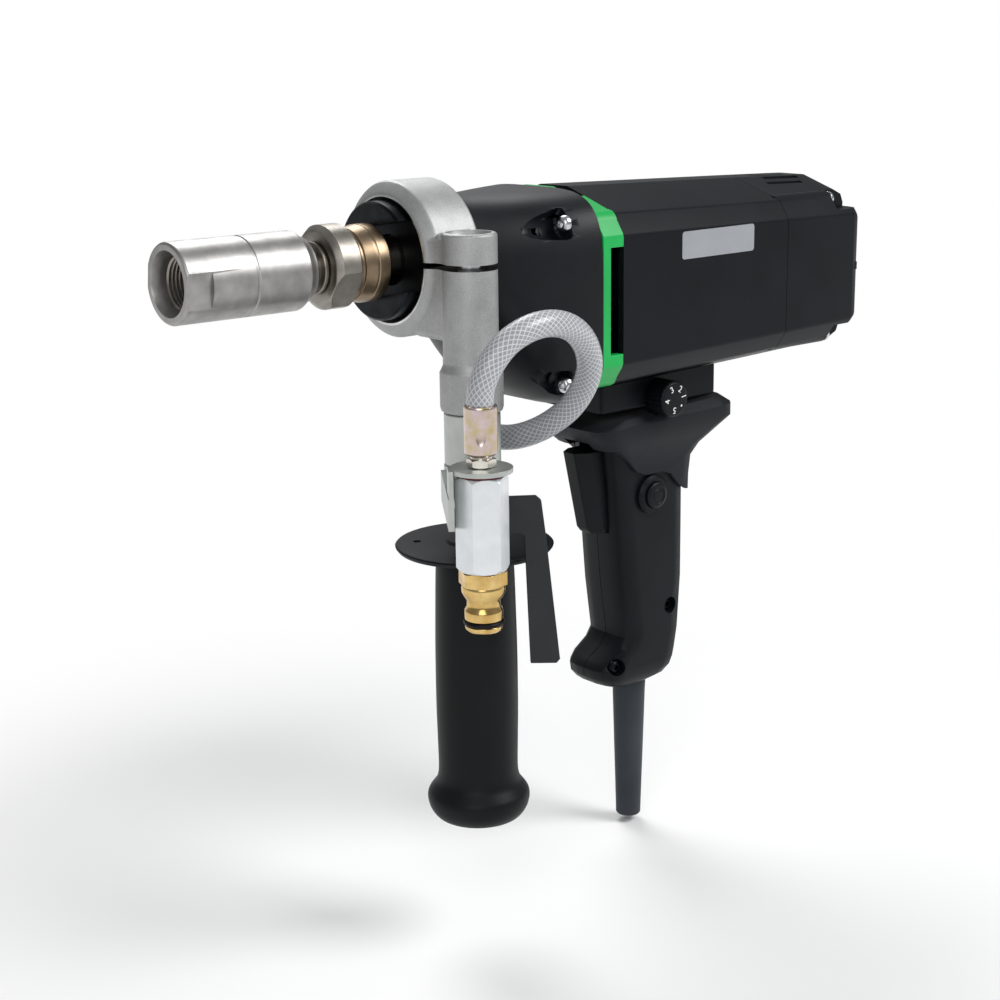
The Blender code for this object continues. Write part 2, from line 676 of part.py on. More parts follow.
def build_motor():
    bore = armature_radius + air_gap
    stator = turned("stator_core", dark_steel, [(stator_front, stator_radius), (stator_rear, stator_radius)],
                    [(stator_front, bore), (stator_rear, bore)], steps=24)
    put(stator, (0, 0, motor_z), ALONG_X)
    coil_radius = stator_radius - 2
    coil_bore = stator_radius - 10
    coils = turned("field_coils", copper,
                   [(stator_rear + GAP, coil_radius - 1), (stator_rear + 2, coil_radius),
                    (stator_rear + 14, coil_radius), (stator_rear + 16, coil_radius - 2)],
                   [(stator_rear + GAP, coil_bore), (stator_rear + 16, coil_bore)], steps=24)
    put(coils, (0, 0, motor_z), ALONG_X)
    ball_bearing("rear_armature_bearing", journal_radius + GAP, rear_bearing_radius, cap_seat_front + 0.5, 9.0,
                 motor_z)
    ball_bearing("front_armature_bearing", shaft_radius + GAP, front_armature_bearing_radius, plate_x + GAP,
                 5.4, motor_z)
    ball_bearing("rear_spindle_bearing", spindle_tail_radius + GAP, rear_spindle_bearing_radius, plate_x + GAP,
                 5.4)


def build_rear_cap():
    cap = motor_loft("rear_cap", black_plastic,
                     [(motor_end + GAP, 0.0), (cap_end - 8, 1.5), (cap_end - 2, 4.0), (cap_end, 8.0)])
    cap_bore = motor_loft("cap_bore", None, [(motor_end - 1, shell_wall), (cap_end - 9, shell_wall + 1.5),
                                             (cap_end - 4, shell_wall + 6.0)], cutters)
    corners = screw_corners(cap_screw_y, cap_screw_z)
    for i, (_, _, j, k) in enumerate(corners):
        keep = corner_block(f"cap_keep_{i}", 12.0, cap_end - 23, j, k)
        boolean(cap_bore, keep)
    boolean(cap, cap_bore)
    seat_bore = rear_bearing_radius + GAP
    seat_outside = rear_bearing_radius + 3.5
    seat = turned("cap_seat", None, [(cap_seat_front, seat_outside), (cap_end - 3, seat_outside)],
                  [(cap_seat_front, seat_bore), (cap_end - 3, seat_bore)], steps=28, group=cutters)
    put(seat, (0, 0, motor_z), ALONG_X)
    boolean(cap, seat, "UNION")
    for side in (-1, 1):
        web = box(f"cap_web_{side}", None, (cap_seat_front, seat_outside - 1, motor_z - 2),
                  (cap_end - 3, body_half_width * motor_taper - 2.6, motor_z + 2), group=cutters)
        web.location.y = side * web.location.y
        boolean(cap, web, "UNION")
    notch_floor = cap_end - 20
    for i, (y, z, j, k) in enumerate(corners):
        boss = rod(f"cap_boss_{i}", None, 6.2, motor_end + GAP, cap_end - 12, steps=16, group=cutters)
        put(boss, (0, y - j * 2.0, z - k * 2.0), ALONG_X)
        boolean(cap, boss, "UNION")
        notch = corner_block(f"cap_notch_{i}", 9.0, notch_floor, j, k)
        boolean(cap, notch)
        hole = rod(f"cap_hole_{i}", None, screw_hole_radius, motor_end - 1, cap_end - 10, steps=12,
                   group=cutters)
        put(hole, (0, y, z), ALONG_X)
        boolean(cap, hole)
        screw(f"rear_cap_screw_{i + 1}", (notch_floor + GAP, y, z), (0, math.pi / 2, 0), 3.8, 3.0,
              screw_radius, notch_floor - motor_end - 3)
    roof_z = motor_z + body_half_height
    for side in (-1, 1):
        for i, (y, start) in enumerate(((5.0, 14.0), (11.5, 18.0), (18.0, 14.0))):
            vent = box(f"cap_vent_{i}_{side}", None, (motor_end + start, y - 1.4, roof_z - 12.5),
                       (motor_end + start + 27.0, y + 1.4, roof_z + 1.5), group=cutters)
            vent.location.y = side * vent.location.y
            boolean(cap, vent)


# The pistol grip and its controls.
def grip_section(z, front, rear, half_width, corner, lean=0.0):
    """One level of the pistol grip; lean raises its rear edge."""
    corners = [(front, -half_width), (rear, -half_width), (rear, half_width), (front, half_width)]
    outline = rounded_outline(corners, corner, 3)
    return [(x, y, z + lean * (x - front) / (rear - front)) for x, y in outline]


def grip_shell(name, side, outer, inner):
    """One half of the pistol grip: side is -1 for the left half and 1 for the right one."""
    shell = loft(f"grip_{name}", black_plastic, outer)
    hollow = loft(f"grip_hollow_{name}", None, inner, cutters)
    boolean(shell, hollow)
    low_y, high_y = (-60.0, -GAP / 2) if side < 0 else (GAP / 2, 60.0)
    half = box(f"grip_keep_{name}", None, (90, low_y, -300), (230, high_y, -60), group=cutters)
    boolean(shell, half, "INTERSECT")
    window_half = trigger_half_width + 0.4
    window = box(f"trigger_window_{name}", None, (120, -window_half, trigger_bottom - 0.5),
                 (141, window_half, -100), group=cutters)
    boolean(shell, window)
    outlet = rod(f"grip_outlet_{name}", None, sleeve_radius + GAP, -250, -200, steps=24, group=cutters)
    put(outlet, (cord_x, 0, 0))
    boolean(shell, outlet)
    post_radius = 5.5
    for i, (x, z) in enumerate(grip_screws):
        post = rod(f"screw_post_{name}_{i}", None, post_radius, -17, 17, steps=16, group=cutters)
        put(post, (x, 0, z), ALONG_Y)
        outside = loft(f"post_limit_{name}_{i}", None, outer, cutters)
        boolean(post, outside, "INTERSECT")
        boolean(post, half, "INTERSECT")
        boolean(shell, post, "UNION")
        if side < 0:
            recess = rod(f"screw_recess_{i}", None, 4.4, -22, -13, steps=20, group=cutters)
            put(recess, (x, 0, z), ALONG_Y)
            boolean(shell, recess)
        hole = rod(f"screw_hole_{name}_{i}", None, 1.9, -18, 12, steps=12, group=cutters)
        put(hole, (x, 0, z), ALONG_Y)
        boolean(shell, hole)
    if side < 0:
        ring = turned("lock_ring", None, [(-21.0, lock_ring_radius - 1.2), (-19.6, lock_ring_radius),
                                          (-14.0, lock_ring_radius)], steps=28, group=cutters)
        put(ring, (lock_x, 0, lock_z), ALONG_Y)
        boolean(shell, ring, "UNION")
        button_hole = rod("lock_hole", None, lock_radius + GAP, -25, -8, steps=24, group=cutters)
        put(button_hole, (lock_x, 0, lock_z), ALONG_Y)
        boolean(shell, button_hole)


def build_grip():
    rows = [(-104, 131, 186, 17.5, 10), (-128, 134, 184, 17.6, 10.5), (-150, 135.5, 184, 18, 11),
            (-178, 138, 184, 18, 11), (-206, 142, 182, 18, 11), (-212, 137.5, 181.5, 18, 12),
            (-217.5, 129, 181, 18, 13), (-221.5, 126, 180, 18, 13), (grip_floor, 126.5, 178, 17.5, 12.5),
            (pistol_bottom + 2.5, 130, 173, 16, 11), (pistol_bottom, 136, 166, 13, 9)]
    outer = [grip_section(*row) for row in rows]
    inner = [grip_section(z, f + grip_wall, r - grip_wall, w - grip_wall, c - grip_wall)
             for z, f, r, w, c in rows[:9]]
    inner[0] = [(x, y, z + 4.5) for x, y, z in inner[0]]
    for side, name in ((-1, "left"), (1, "right")):
        grip_shell(name, side, outer, inner)
    for i, (x, z) in enumerate(grip_screws):
        screw(f"grip_screw_{i + 1}", (x, -13.0 - GAP, z), (math.pi / 2, 0, 0), 3.6, 2.4, 1.5, 23.0,
              stuff=dark_steel)
    # The sleeve is held in the grip's floor by a flange on each side of it.
    sleeve = turned(
        "cable_sleeve", soft_black,
        [(cable_sleeve_end, sleeve_radius), (cable_sleeve_end + 6, sleeve_radius + 0.1),
         (pistol_bottom - 7.5, sleeve_radius + 2.0), (pistol_bottom - 2.5, sleeve_radius + 2.2),
         (pistol_bottom - 0.5, sleeve_radius + 2.2), (pistol_bottom - 0.5, sleeve_radius),
         (grip_floor + GAP, sleeve_radius), (grip_floor + GAP, sleeve_radius + 2.4),
         (grip_floor + 2.9, sleeve_radius + 2.4)],
        [(cable_sleeve_end, cord_bore), (grip_floor + 2.9, cord_bore)], steps=20,
    )
    put(sleeve, (cord_x, 0, 0))


def build_saddle():
    saddle = loft("grip_saddle", soft_black, [
        grip_section(-88.3, 121, 204, 24, 11, 4.0), grip_section(-92, 114, 211, 27, 12, 3.0),
        grip_section(-97, 117, 211, 27, 12, 2.0), grip_section(-103, 124, 201, 24, 11, 1.0),
        grip_section(-108, 128.5, 193, 21.5, 11), grip_section(-114, 131, 188.5, 20, 11),
        grip_section(-124, 131.5, 187.5, 19.6, 11), grip_section(-133, 132, 187.3, 19.6, 11)])
    core = loft("saddle_core", None, [
        grip_section(-140, 131.0, 186.3, 17.9, 10), grip_section(-103.7, 131.0 - GAP, 186.3, 17.9, 10)],
        cutters)
    boolean(saddle, core)
    # The lower edge runs down behind the trigger, level over the lock button's ring, and down at the back.
    ring_top = lock_z + lock_ring_radius + 0.8
    edge = [(100, -104.0), (131, -104.0), (138, -110.0), (145, ring_top + 2.5), (151, ring_top),
            (163, ring_top), (169, ring_top - 2.2), (174.5, -128.0), (180, -131.5), (188, -133.0),
            (240, -133.0), (240, -170.0), (100, -170.0)]
    below = as_mesh(flat_shape("saddle_edge", None, [edge], 80.0, cutters))
    put(below, (0, 0, 0), (math.pi / 2, 0, 0))
    boolean(saddle, below)
    front = box("saddle_front", None, (100, -trigger_half_width - 0.8, -160),
                (136, trigger_half_width + 0.8, -100.5), group=cutters)
    boolean(saddle, front)
    wires = rod("saddle_wires", None, 8.0, -110, -80, steps=20, group=cutters)
    put(wires, (wire_x, 0, 0))
    boolean(saddle, wires)
    dial_well = rod("saddle_dial_well", None, dial_radius + 2 * GAP, -40, -20, steps=28, group=cutters)
    put(dial_well, (dial_x, 0, dial_z), ALONG_Y)
    boolean(saddle, dial_well)


def build_controls():
    floor_top = block_bottom + 3.5
    block = box("control_block", black_plastic, (block_front, -block_half_width, block_bottom),
                (block_rear, block_half_width, block_top), bevel=2.0)
    roof = loft("block_roof", None, [at_x(x, body_outline(-GAP, scale_for(x))) for x in (100, 230)], cutters)
    boolean(block, roof)
    wall = 4.0
    room = box("block_room", None, (block_front + 18, wall - block_half_width, floor_top),
               (block_rear - 6, block_half_width - wall, -60), group=cutters)
    boolean(block, room)
    dial_seat = rod("dial_seat", None, dial_shaft + GAP, -block_half_width - 2, -block_half_width + 5, steps=20,
                    group=cutters)
    put(dial_seat, (dial_x, 0, dial_z), ALONG_Y)
    boolean(block, dial_seat)
    wire_way = rod("block_wires", None, 7.0, -100, floor_top + 1, steps=20, group=cutters)
    put(wire_way, (wire_x, 0, 0))
    boolean(block, wire_way)
    box("speed_controller", pale_plastic, (160, -12, floor_top + GAP), (184, 12, -73.2), bevel=0.6)
    switch = box("trigger_switch", pale_plastic, (trigger_rear + trigger_travel + 1, -8.0, -146),
                 (172, 8.0, -104.6), bevel=0.8)
    notch = rod("switch_clearance", None, lock_radius + 2 * GAP, -20, 0.0, steps=24, group=cutters)
    put(notch, (lock_x, 0, lock_z), ALONG_Y)
    boolean(switch, notch)
    button = turned("lock_button", black_plastic,
                    [(-23.2, lock_radius - 1.0), (-22.4, lock_radius), (-12.0, lock_radius)], steps=24)
    put(button, (lock_x, 0, lock_z), ALONG_Y)
    seat_y = -block_half_width - 2 * GAP
    dial = turned("speed_dial", black_plastic,
                  [(-35.0, dial_radius - 0.8), (-34.2, dial_radius), (seat_y, dial_radius),
                   (seat_y, dial_shaft), (-block_half_width + 5, dial_shaft)], steps=28)
    put(dial, (dial_x, 0, dial_z), ALONG_Y)


def trigger_section(z, front, rear, half_width):
    """One level of the trigger, with a narrow face and slanted sides."""
    face = 0.5 * half_width
    corners = [(front, -face), (front + 7, -half_width), (rear, -half_width), (rear, half_width),
               (front + 7, half_width), (front, face)]
    return [(x, y, z) for x, y in rounded_outline(corners, 1.2, 2)]


def build_trigger():
    knee = trigger_bottom + 3.0
    knee_front = trigger_front + trigger_slope * (trigger_top - knee)
    loft("trigger", black_plastic, [
        trigger_section(trigger_top, trigger_front, trigger_rear, trigger_half_width),
        trigger_section(knee, knee_front, trigger_rear, trigger_half_width),
        trigger_section(trigger_bottom, knee_front + 2.5, trigger_rear - 2.5, trigger_half_width - 0.2)])


# The side handle, the water valve and its hose.
def build_handle():
    ring_front, ring_back = clamp_ring_front, clamp_ring_front + clamp_ring_width
    ring = turned(
        "clamp_ring", cast_aluminium,
        [(ring_front, neck_radius + 2.9), (ring_front + 0.6, neck_radius + 3.7), (ring_front + 3.2, clamp_ring_radius - 0.8),
         (ring_front + 4.2, clamp_ring_radius), (ring_back - 1.5, clamp_ring_radius),
         (ring_back, clamp_ring_radius - 1.5)],
        [(ring_front, neck_radius + 1.6), (ring_front + 1.6, neck_radius + GAP),
         (ring_back, neck_radius + GAP)], steps=32,
    )
    put(ring, (0, 0, 0), ALONG_X)
    web = box("clamp_web", None, (ring_front + 3.0, handle_y - 2, -33), (ring_back - 1.0, -14, 14.0),
              bevel=3.0, group=cutters)
    boolean(ring, web, "UNION")
    barrel = turned("clamp_barrel", None,
                    [(collar_bottom, collar_radius - 1.2), (collar_bottom + 2.5, collar_radius),
                     (collar_top - 1, collar_radius), (collar_top + 1.5, barrel_radius),
                     (barrel_top - 1.0, barrel_radius), (barrel_top, barrel_radius - 1.0)],
                    steps=24, group=cutters)
    put(barrel, (handle_x, handle_y, 0))
    boolean(ring, barrel, "UNION")
    bore = rod("clamp_bore", None, neck_radius + GAP, ring_front + 1, ring_back + 2, steps=32,
               group=cutters)
    put(bore, (0, 0, 0), ALONG_X)
    boolean(ring, bore)
    recess = rod("barrel_recess", None, barrel_radius - 2.6, barrel_top - 2.5, barrel_top + 2, steps=32,
                 group=cutters)
    put(recess, (handle_x, handle_y, 0))
    boolean(ring, recess)
    stud_hole = rod("stud_hole", None, stud_radius + GAP, collar_bottom - 2, barrel_top - 5, steps=24,
                    group=cutters)
    put(stud_hole, (handle_x, handle_y, 0))
    boolean(ring, stud_hole)
    split = box("clamp_split", None, (0, handle_y - 20, -1.3), (50, -20, 1.3), group=cutters)
    boolean(ring, split)

    tube = turned("handle_tube", zinc,
                  [(tube_bottom, tube_radius), (collar_bottom - GAP, tube_radius)],
                  [(tube_bottom, stud_radius + GAP), (collar_bottom - GAP, stud_radius + GAP)], steps=28)
    put(tube, (handle_x, handle_y, 0))
    grip = turned(
        "side_grip", black_plastic,
        [(grip_bottom, grip_radius + 2.7), (grip_bottom + 3, grip_radius + 5.3),
         (grip_bottom + 12, grip_radius + 5.1), (grip_bottom + 17, grip_radius + 2.1),
         (grip_bottom + 26, grip_radius + 0.1), (grip_bottom + 52, grip_radius + 0.6),
         (grip_bottom + 90, grip_radius + 0.3),
         (guard_z - 6, 17.6), (guard_z - 3, 16.2), (guard_z - 3, 14.0), (guard_z - 2.6, 8.0),
         (sleeve_bottom - 12, 8.0), (sleeve_bottom - 5, 11.5), (sleeve_bottom - GAP, 11.5),
         (sleeve_bottom - GAP, stud_radius), (barrel_top - 6, stud_radius)], steps=22,
    )
    put(grip, (handle_x, handle_y, 0))
    guard = turned("hand_guard", black_plastic,
                   [(guard_z - 2.3, 33.0), (guard_z - 1.6, guard_radius - 0.4), (guard_z - 0.6, guard_radius),
                    (guard_z + 0.3, guard_radius - 0.5), (guard_z, 33.0), (guard_z + 0.9, 12.0),
                    (guard_z + 2.4, 11.5)],
                   [(guard_z - 2.3, 8.0 + GAP), (guard_z + 2.4, 8.0 + GAP)], steps=28)
    put(guard, (handle_x, handle_y, 0))
    for side in (-1, 1):
        hole = rod(f"guard_hole_{side}", None, 1.8, guard_z - 5, guard_z + 5, steps=12, group=cutters)
        put(hole, (handle_x - side * 19.5, handle_y + side * 17.0, 0))
        boolean(guard, hole)


def build_valve():
    frame = bpy.data.objects.new("valve_frame", None)
    parts.objects.link(frame)
    frame.location = Vector((handle_x + valve_offset.x, handle_y + valve_offset.y, 0)) * MM
    facing = math.atan2(-valve_offset.y, -valve_offset.x) - math.pi / 2
    frame.rotation_euler = (0, 0, facing)
    reach = valve_offset.length
    hex_bottom = hex_top - hex_length
    flat = hex_across_flats / 2
    stem_z = hex_top - 22.5

    bracket = turned("valve_bracket", zinc, [(sleeve_bottom, 13.0), (tube_bottom - GAP, 13.0)],
                     [(sleeve_bottom, stud_radius + GAP), (tube_bottom - GAP, stud_radius + GAP)], steps=24)
    put(bracket, (0, reach, 0), parent=frame)
    shelf_top = hex_top + 3.6
    arm = box("bracket_arm", None, (-14.6, -6.0, sleeve_bottom + 2), (-12.0, reach - 2.0, tube_bottom - 2),
              group=cutters)
    riser = box("bracket_riser", None, (-14.2, -6.0, sleeve_bottom + 2), (-12.2, 6.0, shelf_top - 0.4),
                group=cutters)
    shelf = turned("bracket_shelf", None, [(shelf_top - 2.0, 13.4), (shelf_top, 13.4)], steps=24,
                   group=cutters)
    for piece in (arm, riser, shelf):
        piece.parent = frame
        boolean(bracket, piece, "UNION")
    hole = rod("shelf_hole", None, 4.6, shelf_top - 5, shelf_top + 5, steps=20, group=cutters)
    hole.parent = frame
    boolean(bracket, hole)
    gasket = turned("valve_gasket", red_seal, [(hex_top + GAP, 10.6), (shelf_top - 2.0 - GAP, 10.6)],
                    [(hex_top + GAP, 4.6), (shelf_top - 2.0 - GAP, 4.6)], steps=20)
    gasket.parent = frame

    body = prism("valve_body", zinc, 6, hex_across_flats, hex_bottom, hex_top, turn=math.radians(5.8 - 30))
    body.parent = frame
    chamfer = turned("hex_chamfer", None,
                     [(hex_bottom - 0.5, flat - 0.2), (hex_bottom + 1.6, flat * 1.17),
                      (hex_top - 1.6, flat * 1.17), (hex_top + 0.5, flat - 0.2)], steps=32, group=cutters)
    chamfer.parent = frame
    boolean(body, chamfer, "INTERSECT")
    boss = rod("stem_boss", None, 5.5, flat - 3.0, flat + 5.0, steps=24, group=cutters)
    put(boss, (0, 0, stem_z), ALONG_Y, frame)
    boolean(body, boss, "UNION")
    way = rod("valve_way", None, 4.2, hex_bottom - 2, hex_top + 2, steps=20, group=cutters)
    way.parent = frame
    boolean(body, way)
    ball_room = rod("ball_room", None, 7.0, stem_z - 7.0, stem_z + 7.0, steps=20, group=cutters)
    ball_room.parent = frame
    boolean(body, ball_room)
    stem_hole = rod("stem_hole", None, stem_radius + 2 * GAP, 0, flat + 8, steps=20, group=cutters)
    put(stem_hole, (0, 0, stem_z), ALONG_Y, frame)
    boolean(body, stem_hole)

    lever_plane = flat + 6.7
    ball = turned("valve_ball", steel, [(-6.5, 1.0), (-5.6, 3.3), (-3.8, 5.3), (0.0, 6.5), (3.8, 5.3),
                                        (5.2, 3.9), (5.2, stem_radius), (lever_plane + 1.2, stem_radius)],
                  steps=20)
    put(ball, (0, 0, stem_z), ALONG_Y, frame)
    ball_way = rod("ball_way", None, 3.0, -10, 10, steps=16, group=cutters)
    put(ball_way, (0, 0, stem_z), (0, 0, 0), frame)
    boolean(ball, ball_way)

    outline = [(-6.5, 6.0), (-4.0, 8.6), (24.6, 8.6), (26.8, 6.6), (28.6, -8.0), (34.6, -66.0), (33.0, -67.8),
               (21.6, -67.4), (19.4, -8.6), (17.6, -7.6), (-4.5, -7.6), (-6.5, -5.5)]
    lever = flat_shape("valve_lever", black_plastic, [outline, circle(stem_radius + GAP)], 2.5)
    put(lever, (0, lever_plane, stem_z), (math.pi / 2, 0, 0), frame)

    nipple = turned(
        "water_nipple", brass,
        [(hex_bottom - nipple_length, 7.4), (hex_bottom - nipple_length + 0.8, 8.2),
         (hex_bottom - nipple_length + 2.6, 8.2), (hex_bottom - nipple_length + 2.6, 6.9),
         (hex_bottom - nipple_length + 5.0, 6.9), (hex_bottom - nipple_length + 5.0, 8.2),
         (hex_bottom - 19.0, 8.4), (hex_bottom - 16.5, 8.4), (hex_bottom - 14.0, 7.4),
         (hex_bottom - 11.0, 7.4), (hex_bottom - 8.6, 9.4), (hex_bottom - 6.6, 9.4),
         (hex_bottom - 6.4, 10.6), (hex_bottom - GAP, 10.6)],
        [(hex_bottom - nipple_length, 5.0), (hex_bottom - GAP, 5.0)], steps=24,
    )
    nipple.parent = frame
    cut = prism("nipple_hex", None, 6, 19.0, hex_bottom - 40, hex_bottom + 2, turn=math.radians(12),
                group=cutters)
    cut.parent = frame
    boolean(nipple, cut, "INTERSECT")
    seal_z = hex_bottom - nipple_length + 3.8
    bpy.ops.mesh.primitive_torus_add(major_radius=7.9 * MM - 0.00005, minor_radius=0.95 * MM,
                                     major_segments=20, minor_segments=6)
    o_ring = bpy.context.object
    o_ring.name = "nipple_o_ring"
    o_ring.data.materials.append(soft_black)
    for group in list(o_ring.users_collection):
        group.objects.unlink(o_ring)
    parts.objects.link(o_ring)
    put(o_ring, (0, 0, seal_z), parent=frame)
    groove = turned("o_ring_room", None, [(seal_z - 1.2, 9.5), (seal_z + 1.2, 9.5)],
                    [(seal_z - 1.2, 6.6), (seal_z + 1.2, 6.6)], steps=32, group=cutters)
    groove.parent = frame
    boolean(nipple, groove)

    ferrule_low = hex_top + 9.0
    tail = turned(
        "hose_tail", zinc,
        [(hex_top - 2.0, 3.9), (shelf_top + GAP, 3.9), (shelf_top + GAP, 4.7), (ferrule_low - GAP, 4.7)],
        [(hex_top - 2.0, 1.8), (ferrule_low - GAP, 1.8)], steps=20)
    tail.parent = frame
    ferrule = turned(
        "hose_ferrule", zinc,
        [(ferrule_low, 6.4), (ferrule_low + 0.8, 7.1), (ferrule_low + 20.2, 7.1), (ferrule_low + 21.0, 6.4)],
        [(ferrule_low, 2.2), (ferrule_low + 1.2, 2.2), (ferrule_low + 1.2, hose_radius + GAP),
         (ferrule_low + 21.0, hose_radius + GAP)], steps=24)
    ferrule.parent = frame


def build_hose():
    """The clear hose from the ferrule, over its loop beside the barrel, and back to the inlet."""
    points = [(-7.5, -83.0, -71.0), (-7.5, -83.0, -48.5), (-6.0, -84.0, -40.5), (-2.0, -85.5, -33.0),
              (5.0, -87.0, -26.0), (16.0, -88.0, -21.5), (29.0, -87.5, -21.0), (42.0, -85.0, -25.0),
              (53.0, -81.0, -33.0), (60.5, -76.0, -43.5), (63.5, -69.5, -54.5), (61.5, -62.0, -65.5),
              (56.0, -53.0, -74.0), (50.0, -43.0, -79.5), (45.5, -32.5, -81.5), (43.5, -21.5, -79.5),
              (43.0, -12.5, -73.0), (43.5, -6.0, -65.5), (44.0, -3.0, -58.5), (44.0, -3.0, -53.9)]
    curve = bpy.data.curves.new("water_hose", "CURVE")
    curve.dimensions = "3D"
    curve.bevel_depth = hose_radius * MM
    curve.bevel_resolution = 2
    curve.use_fill_caps = True
    spline = curve.splines.new("POLY")
    spline.points.add(len(points) - 1)
    for point, place in zip(spline.points, points):
        point.co = (*(Vector(place) * MM), 1)
    return new_object("water_hose", curve, clear_hose)


build_spindle()
build_gear_train()
build_neck()
build_gear_case()
build_band()
build_housing()
build_motor()
build_rear_cap()
build_grip()
build_saddle()
build_controls()
build_trigger()
build_handle()
build_valve()
build_hose()
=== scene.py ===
# Hand-held wet core drill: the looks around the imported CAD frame.
# The frame is in metres: the spindle runs along X, the motor is behind it (+X),
# Z is up, and the near side is -Y. Sizes in the settings are in mm unless a comment says otherwise.
import json
import math
import bmesh
import bpy
from mathutils import Matrix, Vector


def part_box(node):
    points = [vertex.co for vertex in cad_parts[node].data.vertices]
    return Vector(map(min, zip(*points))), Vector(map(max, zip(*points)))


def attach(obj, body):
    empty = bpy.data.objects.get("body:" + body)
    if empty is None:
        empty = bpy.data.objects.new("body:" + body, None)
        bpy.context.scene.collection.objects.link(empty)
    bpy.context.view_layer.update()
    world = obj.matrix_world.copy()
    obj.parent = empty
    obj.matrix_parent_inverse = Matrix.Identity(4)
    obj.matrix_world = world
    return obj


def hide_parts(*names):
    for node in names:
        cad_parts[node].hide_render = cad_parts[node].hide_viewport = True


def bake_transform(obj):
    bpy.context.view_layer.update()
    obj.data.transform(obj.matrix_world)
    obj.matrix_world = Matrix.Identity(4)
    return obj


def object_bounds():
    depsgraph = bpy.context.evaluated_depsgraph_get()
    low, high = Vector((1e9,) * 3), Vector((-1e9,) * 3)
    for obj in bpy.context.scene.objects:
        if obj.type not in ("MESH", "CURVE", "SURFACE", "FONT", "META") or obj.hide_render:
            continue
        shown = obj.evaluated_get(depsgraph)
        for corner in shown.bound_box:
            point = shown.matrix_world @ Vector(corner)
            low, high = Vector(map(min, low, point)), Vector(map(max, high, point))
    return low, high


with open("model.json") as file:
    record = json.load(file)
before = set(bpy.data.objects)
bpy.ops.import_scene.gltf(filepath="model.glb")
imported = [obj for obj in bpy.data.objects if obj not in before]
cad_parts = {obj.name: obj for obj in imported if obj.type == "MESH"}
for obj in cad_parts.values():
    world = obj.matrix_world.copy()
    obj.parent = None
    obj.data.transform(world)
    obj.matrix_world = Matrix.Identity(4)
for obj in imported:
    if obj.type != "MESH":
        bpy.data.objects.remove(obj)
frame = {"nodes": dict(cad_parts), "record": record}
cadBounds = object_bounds()
mm = 0.001
xAxis, yAxis, zAxis = Vector((1, 0, 0)), Vector((0, 1, 0)), Vector((0, 0, 1))


def middle(node):  # the centre of a CAD node's box
    low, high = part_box(node)
    return (low + high) / 2


def boxInMm(node):
    low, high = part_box(node)
    return low / mm, high / mm


def span(node, axis="z"):  # where a CAD node starts and ends along one axis, in mm
    low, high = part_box(node)
    return getattr(low, axis) / mm, getattr(high, axis) / mm


cameraSettings = {
    "place": (-0.4692, -0.6510, 0.0983),  # metres
    "turn": 50.3,  # degrees from +X towards +Y
    "dip": 14.6,
    "roll": -0.8,
    "lens": 64.8,
}


def makeCamera(s):
    turn, dip, roll = (math.radians(s[k]) for k in ("turn", "dip", "roll"))
    ahead = Vector((math.cos(turn) * math.cos(dip), math.sin(turn) * math.cos(dip), -math.sin(dip)))
    side = ahead.cross(zAxis).normalized()
    up = side.cross(ahead)
    sideRolled = side * math.cos(roll) + up * math.sin(roll)
    upRolled = up * math.cos(roll) - side * math.sin(roll)
    camera = bpy.data.objects.new("camera", bpy.data.cameras.new("camera"))
    bpy.context.scene.collection.objects.link(camera)
    camera.data.lens = s["lens"]
    camera.data.sensor_width = 36
    camera.data.clip_start = 0.01
    axes = Matrix((sideRolled, upRolled, -ahead)).transposed()
    camera.matrix_world = Matrix.Translation(Vector(s["place"])) @ axes.to_4x4()
    bpy.context.scene.camera = camera


def makeLamp(name, place, aim, size, watts):
    lamp = bpy.data.objects.new(name, bpy.data.lights.new(name, "AREA"))
    lamp.data.shape = "DISK"
    lamp.data.size = size
    lamp.data.energy = watts
    lamp.location = place
    lamp.rotation_euler = (Vector(aim) - Vector(place)).to_track_quat("-Z", "Y").to_euler()
    bpy.context.scene.collection.objects.link(lamp)


makeCamera(cameraSettings)
bpy.context.scene.view_settings.view_transform = "Standard"
print("camera placed")


def linear(hexColour, alpha=1.0):  # sRGB hex to the linear values that a shader takes
    def channel(text):
        c = int(text, 16) / 255
        return c / 12.92 if c <= 0.04045 else ((c + 0.055) / 1.055) ** 2.4
    h = hexColour.lstrip("#")
    return (channel(h[0:2]), channel(h[2:4]), channel(h[4:6]), alpha)


def addNode(material, kind, settings=None, links=None):
    # settings: a property name or an input socket, and its value
    # links: an input socket, and (node, output)
    node = material.node_tree.nodes.new(kind)
    for key, value in (settings or {}).items():
        if isinstance(key, str) and hasattr(node, key):
            setattr(node, key, value)
        else:
            node.inputs[key].default_value = value
    for key, (source, output) in (links or {}).items():
        material.node_tree.links.new(source.outputs[output], node.inputs[key])
    return node


def startMaterial(name, settings):
    material = bpy.data.materials.new(name)
    material.use_nodes = True
    shader = material.node_tree.nodes["Principled BSDF"]
    for key, value in settings.items():
        shader.inputs[key].default_value = value
    return material


def intoShader(material, source, output, socket):
    shader = material.node_tree.nodes["Principled BSDF"]
    material.node_tree.links.new(source.outputs[output], shader.inputs[socket])


def shaded(material, low, high, factor, sharpness=None):
    # two colours mixed by a pattern, into the base colour
    ramp = addNode(material, "ShaderNodeValToRGB", links={"Fac": factor})
    first, last = ramp.color_ramp.elements
    first.color, last.color = linear(low), linear(high)
    if sharpness:
        first.position, last.position = sharpness
    intoShader(material, ramp, "Color", "Base Color")


def roughened(material, low, high, factor):
    spread = addNode(material, "ShaderNodeMapRange", {"To Min": low, "To Max": high}, {"Value": factor})
    intoShader(material, spread, "Result", "Roughness")


def bumped(material, height, strength, distance):
    bump = addNode(material, "ShaderNodeBump", {"Strength": strength, "Distance": distance},
                   {"Height": height})
    intoShader(material, bump, "Normal", "Normal")


